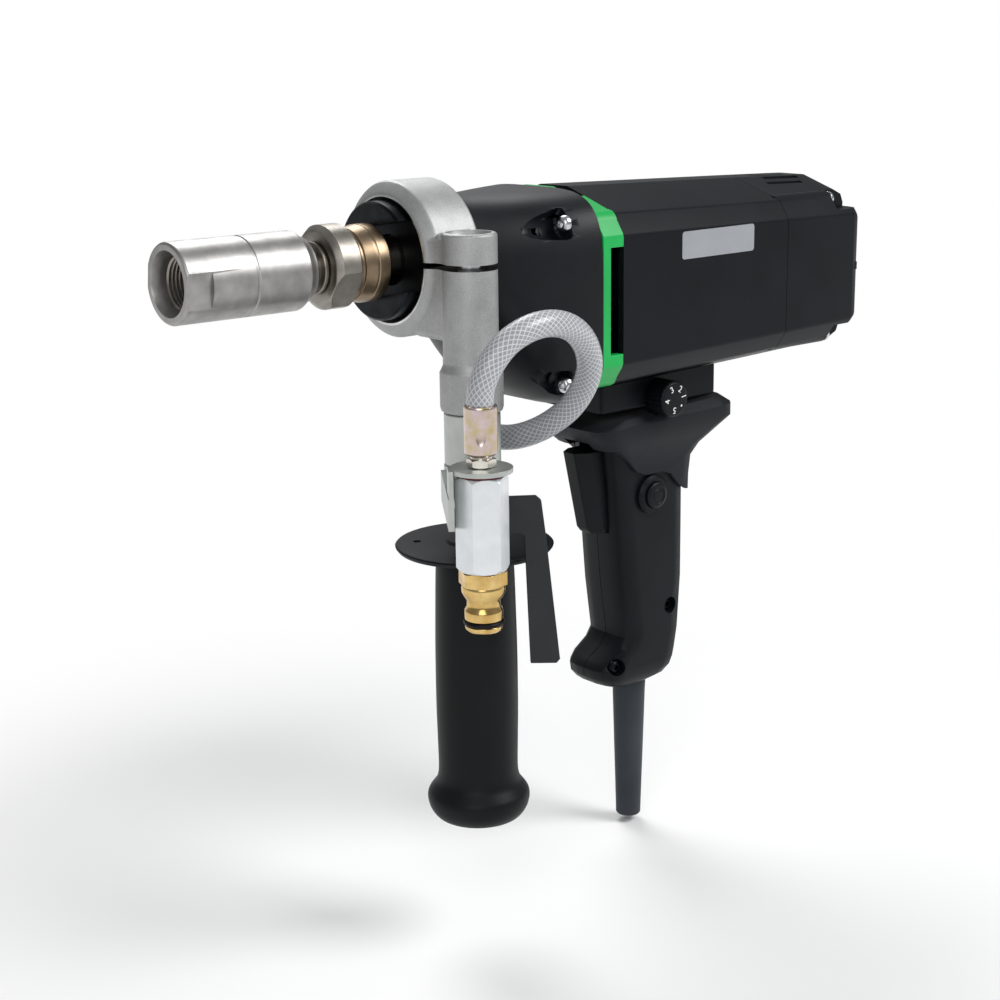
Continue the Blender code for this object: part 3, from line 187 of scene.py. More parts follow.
def placed(material, stretch=(1, 1, 1)):  # object coordinates, stretched by share along each axis
    where = addNode(material, "ShaderNodeTexCoord")
    return addNode(material, "ShaderNodeMapping", {"Scale": stretch}, {"Vector": (where, "Object")})


def grain(material, size, detail=3.0, stretch=(1, 1, 1), rough=0.5):
    # noise whose blotches are about size millimetres wide
    return addNode(material, "ShaderNodeTexNoise",
                   {"Scale": 1 / (size * mm), "Detail": detail, "Roughness": rough},
                   {"Vector": (placed(material, stretch), "Vector")})


def turnedMetal(name, low, high, roughness, along, lineWidth=0.35, depth=0.03):
    # Turned on a lathe: fine rings around the axis, which draw the highlights out into bands.
    # Real tool marks are about 0.1 mm; they are drawn at lineWidth so that they show.
    material = startMaterial(name, {"Metallic": 1.0, "Roughness": roughness})
    stretch = [0.02, 0.02, 0.02]
    stretch["XYZ".index(along)] = 1.0
    lines = grain(material, lineWidth, 2.0, stretch)
    stains = grain(material, 9.0, 4.0)
    shaded(material, low, high, (stains, "Fac"), (0.3, 0.7))
    roughened(material, roughness - 0.07, roughness + 0.1, (lines, "Fac"))
    bumped(material, (lines, "Fac"), 0.5, depth * mm)
    return material


def castMetal(name, low, high, roughness, grit, depth):
    # Sand cast, then tumbled: a close even grit with a few larger pits.
    material = startMaterial(name, {"Metallic": 0.7})
    sand = grain(material, grit, 4.0, rough=0.65)
    patches = grain(material, 6.0, 3.0)
    pits = addNode(material, "ShaderNodeTexVoronoi", {"Scale": 1 / (2.2 * grit * mm)},
                   {"Vector": (placed(material), "Vector")})
    both = addNode(material, "ShaderNodeMath", {"operation": "MULTIPLY_ADD", 1: 0.45},
                   {0: (pits, "Distance"), 2: (sand, "Fac")})
    mixed = addNode(material, "ShaderNodeMath", {"operation": "MULTIPLY_ADD", 1: 0.22},
                    {0: (patches, "Fac"), 2: (sand, "Fac")})
    shaded(material, low, high, (mixed, "Value"), (0.38, 0.84))
    roughened(material, roughness - 0.08, roughness + 0.12, (sand, "Fac"))
    bumped(material, (both, "Value"), 0.7, depth * mm)
    return material


def platedMetal(name, low, high, roughness, patch=4.0, metallic=1.0):
    # Barrel plated: smooth under soft cloudy patches.
    material = startMaterial(name, {"Metallic": metallic})
    clouds = grain(material, patch, 4.0)
    fine = grain(material, 0.5, 2.0)
    shaded(material, low, high, (clouds, "Fac"), (0.3, 0.7))
    roughened(material, roughness - 0.06, roughness + 0.08, (clouds, "Fac"))
    bumped(material, (fine, "Fac"), 0.25, 0.02 * mm)
    return material


def mouldedPlastic(name, low, high, roughness, sparkSize=0.45, depth=0.05, sheen=0.0, shine=0.17):
    # Injection moulded in a spark-eroded tool: a fine even texture that breaks the gloss.
    material = startMaterial(name, {"IOR": 1.5, "Sheen Weight": sheen, "Specular IOR Level": shine})
    texture = grain(material, sparkSize, 3.0, rough=0.6)
    handling = grain(material, 28.0, 3.0)
    shaded(material, low, high, (handling, "Fac"), (0.3, 0.75))
    roughened(material, roughness - 0.07, roughness + 0.09, (handling, "Fac"))
    bumped(material, (texture, "Fac"), 0.45, depth * mm)
    return material


turnedSteel = turnedMetal("turnedSteel", "#949392", "#B4B2B0", 0.40, "X", 0.4, 0.02)  # bright carbon steel
groundSteel = turnedMetal("groundSteel", "#B4B1AE", "#DCDAD7", 0.20, "X", 0.5, 0.015)
warmGreySteel = turnedMetal("warmGreySteel", "#87837C", "#A5A098", 0.36, "X", 0.45, 0.015)  # warm grey, darker than the turned steel
threadSteelAndShade = turnedMetal("threadSteelAndShade", "#6F6A64", "#A39D95", 0.32, "X", 0.3, 0.02)  # darker, for cut threads; on the spindle also painted shade in a narrow gap
blackOxideSteel = turnedMetal("blackOxideSteel", "#15171A", "#25282C", 0.36, "X", 0.4, 0.03)  # blacked
siliconBronze = turnedMetal("siliconBronze", "#7B6B58", "#A08C73", 0.32, "X")
turnedBrass = turnedMetal("turnedBrass", "#B8924E", "#E3C584", 0.18, "Z", 0.4, 0.02)
castAluminium = castMetal("castAluminium", "#8F9090", "#BEBFBE", 0.50, 0.40, 0.11)
machinedAluminium = turnedMetal("machinedAluminium", "#B9B9B8", "#E0E0DE", 0.28, "X", 0.45, 0.03)
zincPlate = platedMetal("zincPlate", "#B3B7B3", "#C3C7C3", 0.40, 9.0, 0.8)  # clear passivated
yellowZinc = platedMetal("yellowZinc", "#BFB078", "#D6C3CF", 0.24, 5.0)  # yellow passivated, faint rainbow
nickelPlate = platedMetal("nickelPlate", "#C9C4BA", "#E6E2D9", 0.22, 5.0)
dullChrome = platedMetal("dullChrome", "#DDE1E4", "#E9ECEE", 0.32, 8.0, 0.6)
brightZinc = platedMetal("brightZinc", "#B5B8BA", "#DFE1E3", 0.22, 3.0)  # screws
# powder coat, lacquer over a casting and glass-filled nylon: near black, with a soft gloss
paintedSteel = mouldedPlastic("paintedSteel", "#17191C", "#212428", 0.48, 0.35, 0.04, shine=0.4)
# this lacquered black also serves as painted shade on the aluminium bearing plate inside the case
blackCastingAndShade = mouldedPlastic("blackCastingAndShade", "#090C10", "#11151A", 0.42, 0.9, 0.12, shine=0.25)
blackNylon = mouldedPlastic("blackNylon", "#0A0D11", "#12161B", 0.42, 0.4, 0.035, shine=0.14)
gripNylon = mouldedPlastic("gripNylon", "#090C0F", "#101419", 0.42, 0.45, 0.05)
handleRubber = mouldedPlastic("handleRubber", "#090B0D", "#101316", 0.46, 0.8, 0.04)
softRubber = mouldedPlastic("softRubber", "#121519", "#1A1E24", 0.55, 0.6, 0.05, sheen=0.05)
sleeveRubber = mouldedPlastic("sleeveRubber", "#2F3338", "#3A4046", 0.62, 0.5, 0.04, sheen=0.1)
greenNylon = mouldedPlastic("greenNylon", "#0A9C46", "#12B154", 0.36, 0.5, 0.03, shine=0.4)
redFibre = mouldedPlastic("redFibre", "#4A1118", "#6A1C24", 0.62, 0.5, 0.08, shine=0.4)
sealRubber = mouldedPlastic("sealRubber", "#08080A", "#101012", 0.38, 0.5, 0.02)
palePhenolic = mouldedPlastic("palePhenolic", "#B9B4A2", "#CFCABA", 0.45, shine=0.5)
laminatedSteel = turnedMetal("laminatedSteel", "#4B4D50", "#7C7E82", 0.42, "X", 0.5, 0.08)  # stacked sheets
windingCopper = turnedMetal("windingCopper", "#7A3B1C", "#B86A3A", 0.30, "X", 0.6, 0.12)  # enamelled wire
labelVinyl = mouldedPlastic("labelVinyl", "#8E9196", "#9A9DA2", 0.42, 1.2, 0.01, shine=0.5)  # plain
whiteInk = mouldedPlastic("whiteInk", "#E9E9E6", "#F2F2F0", 0.5, 0.6, 0.01, shine=0.5)


def makeHoseMaterial():
    # Clear soft PVC over a white polyester braid; the strands cross in small diamonds
    # on the tube's own map.
    material = startMaterial("braidedVinyl", {
        "Roughness": 0.34, "IOR": 1.53, "Coat Weight": 0.2, "Coat Roughness": 0.2})
    where = addNode(material, "ShaderNodeUVMap", {"uv_map": "tube"})
    apart = addNode(material, "ShaderNodeSeparateXYZ", links={"Vector": (where, "UV")})
    strands = []
    for hand in (1, -1):  # u counts turns round the tube, v counts diamonds along it
        around = addNode(material, "ShaderNodeMath", {"operation": "MULTIPLY", 1: 15.0 * hand},
                         {0: (apart, "X")})
        mix = addNode(material, "ShaderNodeMath", {"operation": "ADD"},
                      {0: (around, "Value"), 1: (apart, "Y")})
        saw = addNode(material, "ShaderNodeMath", {"operation": "PINGPONG", 1: 0.5}, {0: (mix, "Value")})
        strands.append(addNode(material, "ShaderNodeMapRange",
                               {"From Min": 0.05, "From Max": 0.15, "To Min": 1.0, "To Max": 0.0,
                                "interpolation_type": "SMOOTHSTEP"}, {"Value": (saw, "Value")}))
    either = addNode(material, "ShaderNodeMath", {"operation": "MAXIMUM"},
                     {0: (strands[0], "Result"), 1: (strands[1], "Result")})
    shaded(material, "#94969B", "#CDCFD2", (either, "Value"), (0.0, 1.0))
    bumped(material, (either, "Value"), 0.2, 0.08 * mm)
    return material


braidedVinyl = makeHoseMaterial()
print("materials made")

bodies = frame["record"]["behaviour"]["bodies"]
bodyOf = {node: body for body, members in bodies.items() for node in members}


def asObject(name, bm, material=None):  # the bmesh is used up
    mesh = bpy.data.meshes.new(name)
    bm.to_mesh(mesh)
    bm.free()
    if material:
        mesh.materials.append(material)
    piece = bpy.data.objects.new(name, mesh)
    bpy.context.scene.collection.objects.link(piece)
    return piece


def inOrder(bm):
    # Spinning and extruding leave points and faces in an order that changes from run to run,
    # and a cut made later follows it. So they are written again, sorted by place.
    def spot(v):
        return tuple(round(c, 9) + 0.0 for c in v.co)
    spots = sorted({spot(v) for v in bm.verts})
    number = {place: i for i, place in enumerate(spots)}
    rounds = []
    for face in bm.faces:
        corners = [number[spot(v)] for v in face.verts]
        first = corners.index(min(corners))
        rounds.append(corners[first:] + corners[:first])
    bm.clear()
    verts = [bm.verts.new(place) for place in spots]
    for corners in sorted(rounds):
        bm.faces.new([verts[i] for i in corners])


def newPiece(name, bm, material=None):
    bmesh.ops.remove_doubles(bm, verts=bm.verts, dist=0.001 * mm)
    bmesh.ops.dissolve_degenerate(bm, dist=0.0005 * mm, edges=bm.edges)
    bmesh.ops.recalc_face_normals(bm, faces=bm.faces)
    inOrder(bm)
    return asObject(name, bm, material)


def raiseFaces(bm, faces, height):  # gives flat faces a thickness along Z
    raised = bmesh.ops.extrude_face_region(bm, geom=faces)["geom"]
    bmesh.ops.translate(bm, vec=(0, 0, height * mm),
                        verts=[v for v in raised if isinstance(v, bmesh.types.BMVert)])


def moved(piece, place=(0, 0, 0), turn=0.0, about=zAxis):  # place in mm, turn in degrees
    there = Matrix.Translation(Vector(place) * mm)
    piece.data.transform(there @ Matrix.Rotation(math.radians(turn), 4, about))
    return piece


def spun(name, outline, material=None, along=xAxis, steps=96):
    # outline: a closed line of (distance along the axis, radius), in mm
    bm = bmesh.new()
    outwards = zAxis if along.z == 0 else xAxis
    verts = [bm.verts.new((along * a + outwards * r) * mm) for a, r in outline]
    edges = [bm.edges.new((verts[i - 1], verts[i])) for i in range(len(verts))]
    bmesh.ops.spin(bm, geom=verts + edges, cent=(0, 0, 0), axis=along, dvec=(0, 0, 0),
                   angle=2 * math.pi, steps=steps, use_merge=True)
    return newPiece(name, bm, material)


def rod(radius, low, high, along=zAxis, steps=64):
    return spun("rod", [(low, 0), (low, radius), (high, radius), (high, 0)], None, along, steps)


def block(low, high):
    bm = bmesh.new()
    bmesh.ops.create_cube(bm, size=mm)
    low, high = Vector(low), Vector(high)
    bmesh.ops.scale(bm, vec=high - low, verts=bm.verts)
    bmesh.ops.translate(bm, vec=(low + high) / 2 * mm, verts=bm.verts)
    return newPiece("block", bm)


def hexBar(name, acrossFlats, low, high, turn=0.0, material=None):
    bm = bmesh.new()
    bmesh.ops.create_circle(bm, cap_ends=True, segments=6, radius=acrossFlats / math.sqrt(3) * mm)
    bmesh.ops.translate(bm, vec=(0, 0, low * mm), verts=bm.verts)
    raiseFaces(bm, list(bm.faces), high - low)
    return moved(newPiece(name, bm, material), turn=turn)


def carve(piece, tool, operation="DIFFERENCE"):  # the tool is used up
    step = piece.modifiers.new("Carve", "BOOLEAN")
    step.object, step.operation, step.solver = tool, operation, "EXACT"
    bpy.context.view_layer.update()
    result = bpy.data.meshes.new_from_object(piece.evaluated_get(bpy.context.evaluated_depsgraph_get()))
    piece.modifiers.clear()
    piece.data = result
    bpy.data.objects.remove(tool)
    return piece


def copied(name, node, material, flatness=0.8):  # the CAD shape with its flat stretches made whole again
    bm = bmesh.new()
    bm.from_mesh(frame["nodes"][node].data)
    bmesh.ops.remove_doubles(bm, verts=bm.verts, dist=0.004 * mm)
    bmesh.ops.dissolve_limit(bm, angle_limit=math.radians(flatness), verts=bm.verts, edges=bm.edges)
    return asObject(name, bm, material)


def smoothLine(points, between):  # a rounded line through the points
    points = [Vector(p) for p in points]
    ends = [2 * points[0] - points[1]] + points + [2 * points[-1] - points[-2]]
    line = []
    for a, b, c, d in zip(ends, ends[1:], ends[2:], ends[3:]):
        for k in range(between):
            t = k / between
            line.append(0.5 * ((2 * b) + (c - a) * t + (2 * a - 5 * b + 4 * c - d) * t**2
                               + (3 * b - a - 3 * c + d) * t**3))
    return line + [points[-1]]


def finished(piece, node, stands=True, edge=0.25, segments=2, angle=32):
    # edge: the width in mm of the rounding on every corner sharper than angle
    for polygon in piece.data.polygons:
        polygon.use_smooth = True
    if edge:
        rounding = piece.modifiers.new("Edges", "BEVEL")
        rounding.width, rounding.segments = edge * mm, segments
        rounding.limit_method, rounding.angle_limit = "ANGLE", math.radians(angle)
        piece.modifiers.new("Shading", "WEIGHTED_NORMAL").keep_sharp = True
    else:
        piece.data.set_sharp_from_angle(angle=math.radians(angle))
    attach(piece, bodyOf[node])
    if stands:
        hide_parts(node)
    return piece


# water hose: a stiff short loop from the valve to the inlet under the gear case
hoseSettings = {
    "radius": 5.8,
    "wall": 2.0,
    "diamond": 3.0,  # length of one diamond of the braid
    "steps": 40,
    "route": [(-7.5, -83, -71), (-7.5, -83, -48.5), (-6, -84, -40.5), (-2, -85.5, -33),
              (5, -87, -26), (16, -88, -21.5), (29, -87.5, -21), (42, -85, -25),
              (53, -81, -33), (60.5, -76, -43.5), (63.5, -69.5, -54.5), (61.5, -62, -65.5),
              (56, -53, -74), (50, -43, -79.5), (45.5, -32.5, -81.5), (43.5, -21.5, -79.5),
              (43, -12.5, -73), (43.5, -6, -65.5), (44, -3, -58.5), (44, -3, -53.9)],
}


def makeHose(s):
    line = [p * mm for p in smoothLine(s["route"], 8)]
    lengths = [0.0]
    for a, b in zip(line, line[1:]):
        lengths.append(lengths[-1] + (b - a).length)
    bm = bmesh.new()
    around = bmesh.ops.create_circle(bm, segments=s["steps"], radius=s["radius"] * mm)["verts"]
    ring = [v.co.copy() for v in around]
    bmesh.ops.delete(bm, geom=around, context="VERTS")
    loops, along = [], (line[1] - line[0]).normalized()
    turn = zAxis.rotation_difference(along)
    for i, here in enumerate(line):
        ahead = (line[min(i + 1, len(line) - 1)] - line[max(i - 1, 0)]).normalized()
        turn = along.rotation_difference(ahead) @ turn  # carried along, so that the braid doesn't twist
        along = ahead
        loops.append([bm.verts.new(here + turn @ co) for co in ring])
    tubeMap = bm.loops.layers.uv.new("tube")
    for i, (near, far) in enumerate(zip(loops, loops[1:])):
        for k in range(len(ring)):
            face = bm.faces.new((near[k - 1], near[k], far[k], far[k - 1]))
            turns = (k / len(ring), (k + 1) / len(ring), (k + 1) / len(ring), k / len(ring))
            diamonds = [lengths[i + j] / (s["diamond"] * mm) for j in (0, 0, 1, 1)]
            for loop, u, v in zip(face.loops, turns, diamonds):
                loop[tubeMap].uv = (u, v)
    for loop, inwards in ((loops[0], line[1] - line[0]), (loops[-1], line[-2] - line[-1])):
        face = bm.faces.new(loop)
        bmesh.ops.inset_region(bm, faces=[face], thickness=s["wall"] * mm)
        bmesh.ops.translate(bm, vec=inwards.normalized() * 3 * mm, verts=list(face.verts))
    bmesh.ops.recalc_face_normals(bm, faces=bm.faces)
    hose = asObject("braidedHose", bm, braidedVinyl)
    for polygon in hose.data.polygons:
        polygon.use_smooth = len(polygon.vertices) == 4
    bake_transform(hose)
    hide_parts("water_hose")
    print("hose made,", round(lengths[-1] / mm), "mm long")


makeHose(hoseSettings)

# core bit adaptor, nut, bronze ring and spindle, all turned round the spindle's axis
adaptorSettings = {
    "radius": 17.3,
    "mouth": 13.7,  # countersunk mouth of the socket
    "mouthDepth": 6.0,
    "threadRoot": 11.4,
    "threadCrest": 10.6,
    "threadPitch": 1.8,
    "socketDepth": 32.0,
    "groove": 34.0,  # from the front
    "flatReach": 15.5,
    "flatLength": 12.0,
    "flatTurn": 8.0,
}


def makeAdaptor(s):
    front, rear = span("core_bit_adaptor", "x")
    radius = s["radius"]
    socket, groove = front + s["socketDepth"], front + s["groove"]
    adaptor = spun("coreBitAdaptor", [
        (front, 13.9), (front, 16.2), (front + 0.5, 16.9), (front + 1.2, radius), (groove - 1.0, radius),
        (groove - 0.6, 16.9), (groove + 0.2, 16.9), (groove + 0.6, radius), (rear - 5.4, radius),
        (rear - 4.6, 17.0), (rear - 2.4, 15.5), (rear - 1.2, 14.6), (rear, 14.4), (rear, 8.3),
        (rear - 18.3, 8.3), (rear - 18.3, 5.0), (socket, 5.0), (socket, s["threadRoot"]),
        (front + s["mouthDepth"], s["threadRoot"]), (front + 0.5, s["mouth"])], turnedSteel)
    for side in (0, 180):
        flat = block((front - 1, s["flatReach"], -20), (front + s["flatLength"], 22, 20))
        carve(adaptor, moved(flat, turn=side + s["flatTurn"], about=xAxis))
    finished(adaptor, "core_bit_adaptor", edge=0.22)
    turns = int((s["socketDepth"] - s["mouthDepth"] - 1.0) / s["threadPitch"])
    start = front + s["mouthDepth"] - 0.3
    bm = bmesh.new()
    half = s["threadPitch"] * 0.46
    corners = [(-half, s["threadRoot"] + 0.2), (-0.12, s["threadCrest"]), (0.12, s["threadCrest"]),
               (half, s["threadRoot"] + 0.2)]
    verts = [bm.verts.new((start + a) * mm * xAxis + r * mm * zAxis) for a, r in corners]
    edges = [bm.edges.new((verts[i - 1], verts[i])) for i in range(4)]
    steps = 48
    bmesh.ops.spin(bm, geom=verts + edges, cent=(0, 0, 0), axis=xAxis,
                   dvec=xAxis * s["threadPitch"] * mm / steps, angle=2 * math.pi * turns,
                   steps=steps * turns, use_merge=False)
    bmesh.ops.holes_fill(bm, edges=[e for e in bm.edges if e.is_boundary], sides=4)
    thread = newPiece("socketThread", bm, threadSteelAndShade)
    finished(thread, "core_bit_adaptor", stands=False, edge=0)


nutSettings = {"radius": 18.5, "flatReach": 16.0, "flatTurn": 35.0, "bore": 10.3}


def makeNutAndRing(s):
    front, rear = span("spindle_flange_nut", "x")
    radius = s["radius"]
    nut = spun("spindleNut", [
        (front, s["bore"]), (front, 15.4), (front + 0.5, 16.4), (front + 2.6, radius),
        (rear - 1.6, radius), (rear - 0.4, 17.6), (rear, 16.6), (rear, s["bore"])], warmGreySteel)
    for side in (90, 270):
        flat = block((front - 2, s["flatReach"], -14), (rear + 2, 24, 14))
        carve(nut, moved(flat, turn=side + s["flatTurn"] + 90, about=xAxis))
    finished(nut, "spindle_flange_nut", edge=0.25)
    front, rear = span("release_ring", "x")
    ring = spun("bronzeRing", [
        (front, s["bore"]), (front, 15.2), (front + 2.0, 15.4), (front + 2.3, 16.2), (front + 7.2, 17.2),
        (front + 7.9, 17.3), (front + 8.2, 16.9), (front + 8.8, 16.9), (front + 9.1, 17.3),
        (rear - 1.0, 17.3), (rear, 16.6), (rear, s["bore"])], siliconBronze)
    finished(ring, "release_ring", edge=0.15)
    tip, tail = span("spindle", "x")
    # the spindle takes the darker thread steel: partly the tone of its thread, which is not drawn, and
    # partly painted shade where it shows in the narrow gap between adaptor and nut
    spindle = spun("spindleShaft", [
        (tip, 0), (tip, 7.4), (tip + 0.6, 8), (-33.5, 8), (-33.5, 11.2), (-33.1, 11.6), (-31.9, 11.6),
        (-31.5, 11.2), (-31.5, 10), (72, 10), (72, 7.5), (tail, 7.5), (tail, 0)], threadSteelAndShade)
    finished(spindle, "spindle", edge=0.15)


makeAdaptor(adaptorSettings)
makeNutAndRing(nutSettings)
print("spindle end made")

# clamping neck: blacked steel, a wide slot across its face and small radial holes
neckSettings = {
    "radius": 26.5,
    "bore": 11.5,
    "bearingSeat": 21.3,
    "slot": 31.0,
    "slotDepth": 9.0,
    "slotTurn": -10.0,
    "holes": (75, -75),
}


def makeNeck(s):
    rear = span("clamping_neck", "x")[1]
    radius, seat = s["radius"], s["bearingSeat"]
    neck = spun("clampingNeck", [
        (0, s["bore"]), (0, radius - 1.0), (1.0, radius), (rear - 6, radius), (rear - 6, 24.0),
        (rear, 24.0), (rear, seat), (16, seat), (16, s["bore"])], blackOxideSteel, steps=128)
    half = s["slot"] / 2
    carve(neck, moved(block((-2, -40, -half), (s["slotDepth"], 40, half)), turn=s["slotTurn"], about=xAxis))
    for degrees in s["holes"]:
        hole = moved(rod(1.6, 18, 30, zAxis, 32), (6, 0, 0))
        carve(neck, moved(hole, turn=degrees, about=xAxis))
    finished(neck, "clamping_neck", edge=0.4)


makeNeck(neckSettings)

# clamp ring of the side handle: one sand casting, machined where it grips the neck
ringSettings = {
    "radius": 35.0,
    "bore": 26.8,
    "barrel": 12.3,
    "collar": 14.1,
    "collarTop": -45.0,
    "splitGap": 2.6,
    "studHole": 5.3,
    "handle": (20.5, -42.7),  # where the handle's axis stands
}


def makeClampRing(s):
    low, high = boxInMm("clamp_ring")
    front, rear, radius = low.x, high.x, s["radius"]
    bottom, top = low.z, 14.5
    x, y = s["handle"]
    ring = spun("clampRing", [
        (front, 28.2), (front, 29.2), (front + 0.8, 30.6), (front + 3.4, radius - 0.9),
        (front + 4.6, radius), (rear - 2.2, radius), (rear - 1.2, radius - 0.35),
        (rear - 0.4, radius - 1.0), (rear, radius - 1.9), (rear, s["bore"]),
        (front + 1.6, s["bore"])], castAluminium, steps=128)
    web = block((front + 3.0, y - 2, -33), (rear - 1.0, -14, 14.0))
    soften = web.modifiers.new("Soften", "BEVEL")
    soften.width, soften.segments = 3.5 * mm, 4
    carve(ring, web, "UNION")
    thick, thin, step = s["collar"], s["barrel"], s["collarTop"]
    barrel = spun("barrel", [
        (bottom, 0), (bottom, thick - 1.4), (bottom + 0.6, thick - 0.5), (bottom + 2.2, thick),
        (step - 1.5, thick), (step - 0.2, thick - 0.7), (step + 2.0, thin + 0.1), (step + 3.4, thin),
        (top - 1.3, thin), (top - 0.7, thin - 0.2), (top - 0.2, thin - 0.7), (top, thin - 1.4),
        (top, 0)], None, zAxis)
    carve(ring, moved(barrel, (x, y, 0)), "UNION")
    carve(ring, rod(s["bore"], front + 1.6, rear + 2, xAxis, 128))
    recess = spun("recess", [(top - 2.6, 0), (top - 2.6, 8.8), (top - 1.9, 9.6), (top + 1, 10.2),
                             (top + 1, 0)], None, zAxis, 64)
    carve(ring, moved(recess, (x, y, 0)))
    carve(ring, moved(rod(s["studHole"], bottom - 2, top - 1, zAxis, 48), (x, y, 0)))
    half = s["splitGap"] / 2
    carve(ring, block((0, y - 20, -half), (50, -20, half)))
    ring.data.materials.append(machinedAluminium)
    for face in ring.data.polygons:
        across = math.hypot(face.center.y, face.center.z) / mm
        if face.center.x < (front + 1.2) * mm and across < 29.6 or abs(across - s["bore"]) < 0.2:
            face.material_index = 1
    finished(ring, "clamp_ring", edge=0.5, segments=3, angle=38)


# handle tube, stud, guard disc and side grip, all turned round the handle's axis
sideGripSettings = {
    "stud": 5.0,
    "foot": [(0.0, 18.4), (0.7, 19.9), (2.6, 21.6), (5.0, 22.9), (7.5, 23.6), (10.0, 23.8), (12.2, 23.2),
             (14.5, 21.6), (17.0, 19.8), (20.0, 18.8), (25.0, 18.4)],
    "shaft": [(38.0, 18.6), (55.0, 18.9), (80.0, 18.8), (100.0, 18.4), (118.0, 17.9), (124.5, 17.4)],
    "shoulder": [(126.8, 16.4), (127.8, 15.2), (128.0, 13.6), (128.4, 8.0)],
    "guardRadius": 35.8,
    "guardHoles": 1.8,
}


def makeSideGrip(s):
    x, y = ringSettings["handle"]
    bottom, top = span("side_grip")
    guardLow, guardHigh = span("hand_guard")
    sleeve = span("valve_bracket")[0]
    curve = smoothLine([(a, r, 0) for a, r in s["foot"] + s["shaft"]], 4)
    outline = [(bottom, 0)] + [(bottom + p.x, p.y) for p in curve]
    outline += [(bottom + a, r) for a, r in s["shoulder"]]
    outline += [(sleeve - 12, 8.0), (sleeve - 5, 11.0), (sleeve - 4.4, 11.5), (sleeve - 0.8, 11.5),
                (sleeve - 0.3, 11.0), (sleeve - 0.3, s["stud"]), (top - 0.8, s["stud"]),
                (top, s["stud"] - 0.8), (top, 0)]
    grip = moved(spun("sideGrip", outline, handleRubber, zAxis, 96), (x, y, 0))
    grip.data.materials.append(brightZinc)
    for face in grip.data.polygons:
        if face.center.z > (sleeve - 0.2) * mm:
            face.material_index = 1
    finished(grip, "side_grip", edge=0)
    middleZ = (guardLow + guardHigh) / 2
    disc = spun("handGuard", [
        (guardLow, 8.3), (guardLow, 31.5), (guardLow + 0.5, 34.6), (middleZ - 0.6, s["guardRadius"] - 0.2),
        (middleZ, s["guardRadius"]), (middleZ + 0.5, s["guardRadius"] - 0.5), (middleZ + 0.4, 33.0),
        (middleZ + 0.9, 31.0), (middleZ + 1.2, 13.0), (guardHigh, 11.8), (guardHigh, 8.3)],
        blackNylon, zAxis, 128)
    for side in (-1, 1):
        hole = rod(s["guardHoles"], guardLow - 2, guardHigh + 2, zAxis, 32)
        carve(disc, moved(hole, (-side * 19.5, side * 17, 0)))
    finished(moved(disc, (x, y, 0)), "hand_guard", edge=0.2)
    tubeLow, tubeHigh = span("handle_tube")
    tube = spun("handleTube", [
        (tubeLow, 5.3), (tubeLow, 11.8), (tubeLow + 0.8, 12.6), (tubeHigh - 0.5, 12.6), (tubeHigh, 12.1),
        (tubeHigh, 5.3)], zincPlate, zAxis)
    finished(moved(tube, (x, y, 0)), "handle_tube", edge=0.2)


makeClampRing(ringSettings)
makeSideGrip(sideGripSettings)
print("side handle made")

# water valve: hexagonal body, flange plate, hose fittings, brass nipple and its lever
valveSettings = {
    "axis": (-7.5, -83.0),
    "turn": -34.79,  # turns the valve's own Y towards the handle
    "acrossFlats": 20.0,
    "hexTurn": -24.2,
    "way": 4.2,
    "nipple": [(0.0, 5.0), (0.0, 7.2), (0.9, 8.0), (2.4, 8.2), (2.6, 7.9), (2.7, 6.9), (4.9, 6.9),
               (5.0, 7.9), (5.2, 8.2), (8.4, 8.3), (9.4, 8.2), (10.9, 7.3), (12.8, 7.2), (14.0, 7.5),
               (15.6, 8.6), (17.4, 9.4), (19.2, 9.5), (20.2, 9.1), (20.6, 9.1), (20.7, 10.6),
               (26.7, 10.6), (26.7, 5.0)],
    "nippleHex": 19.0,
    "nippleTurn": 12.0,
    "seal": (3.8, 7.8, 1.0),  # height, middle radius, thickness radius of the O-ring
    "ferruleRadius": 7.1,
    "tailNut": 11.0,
}


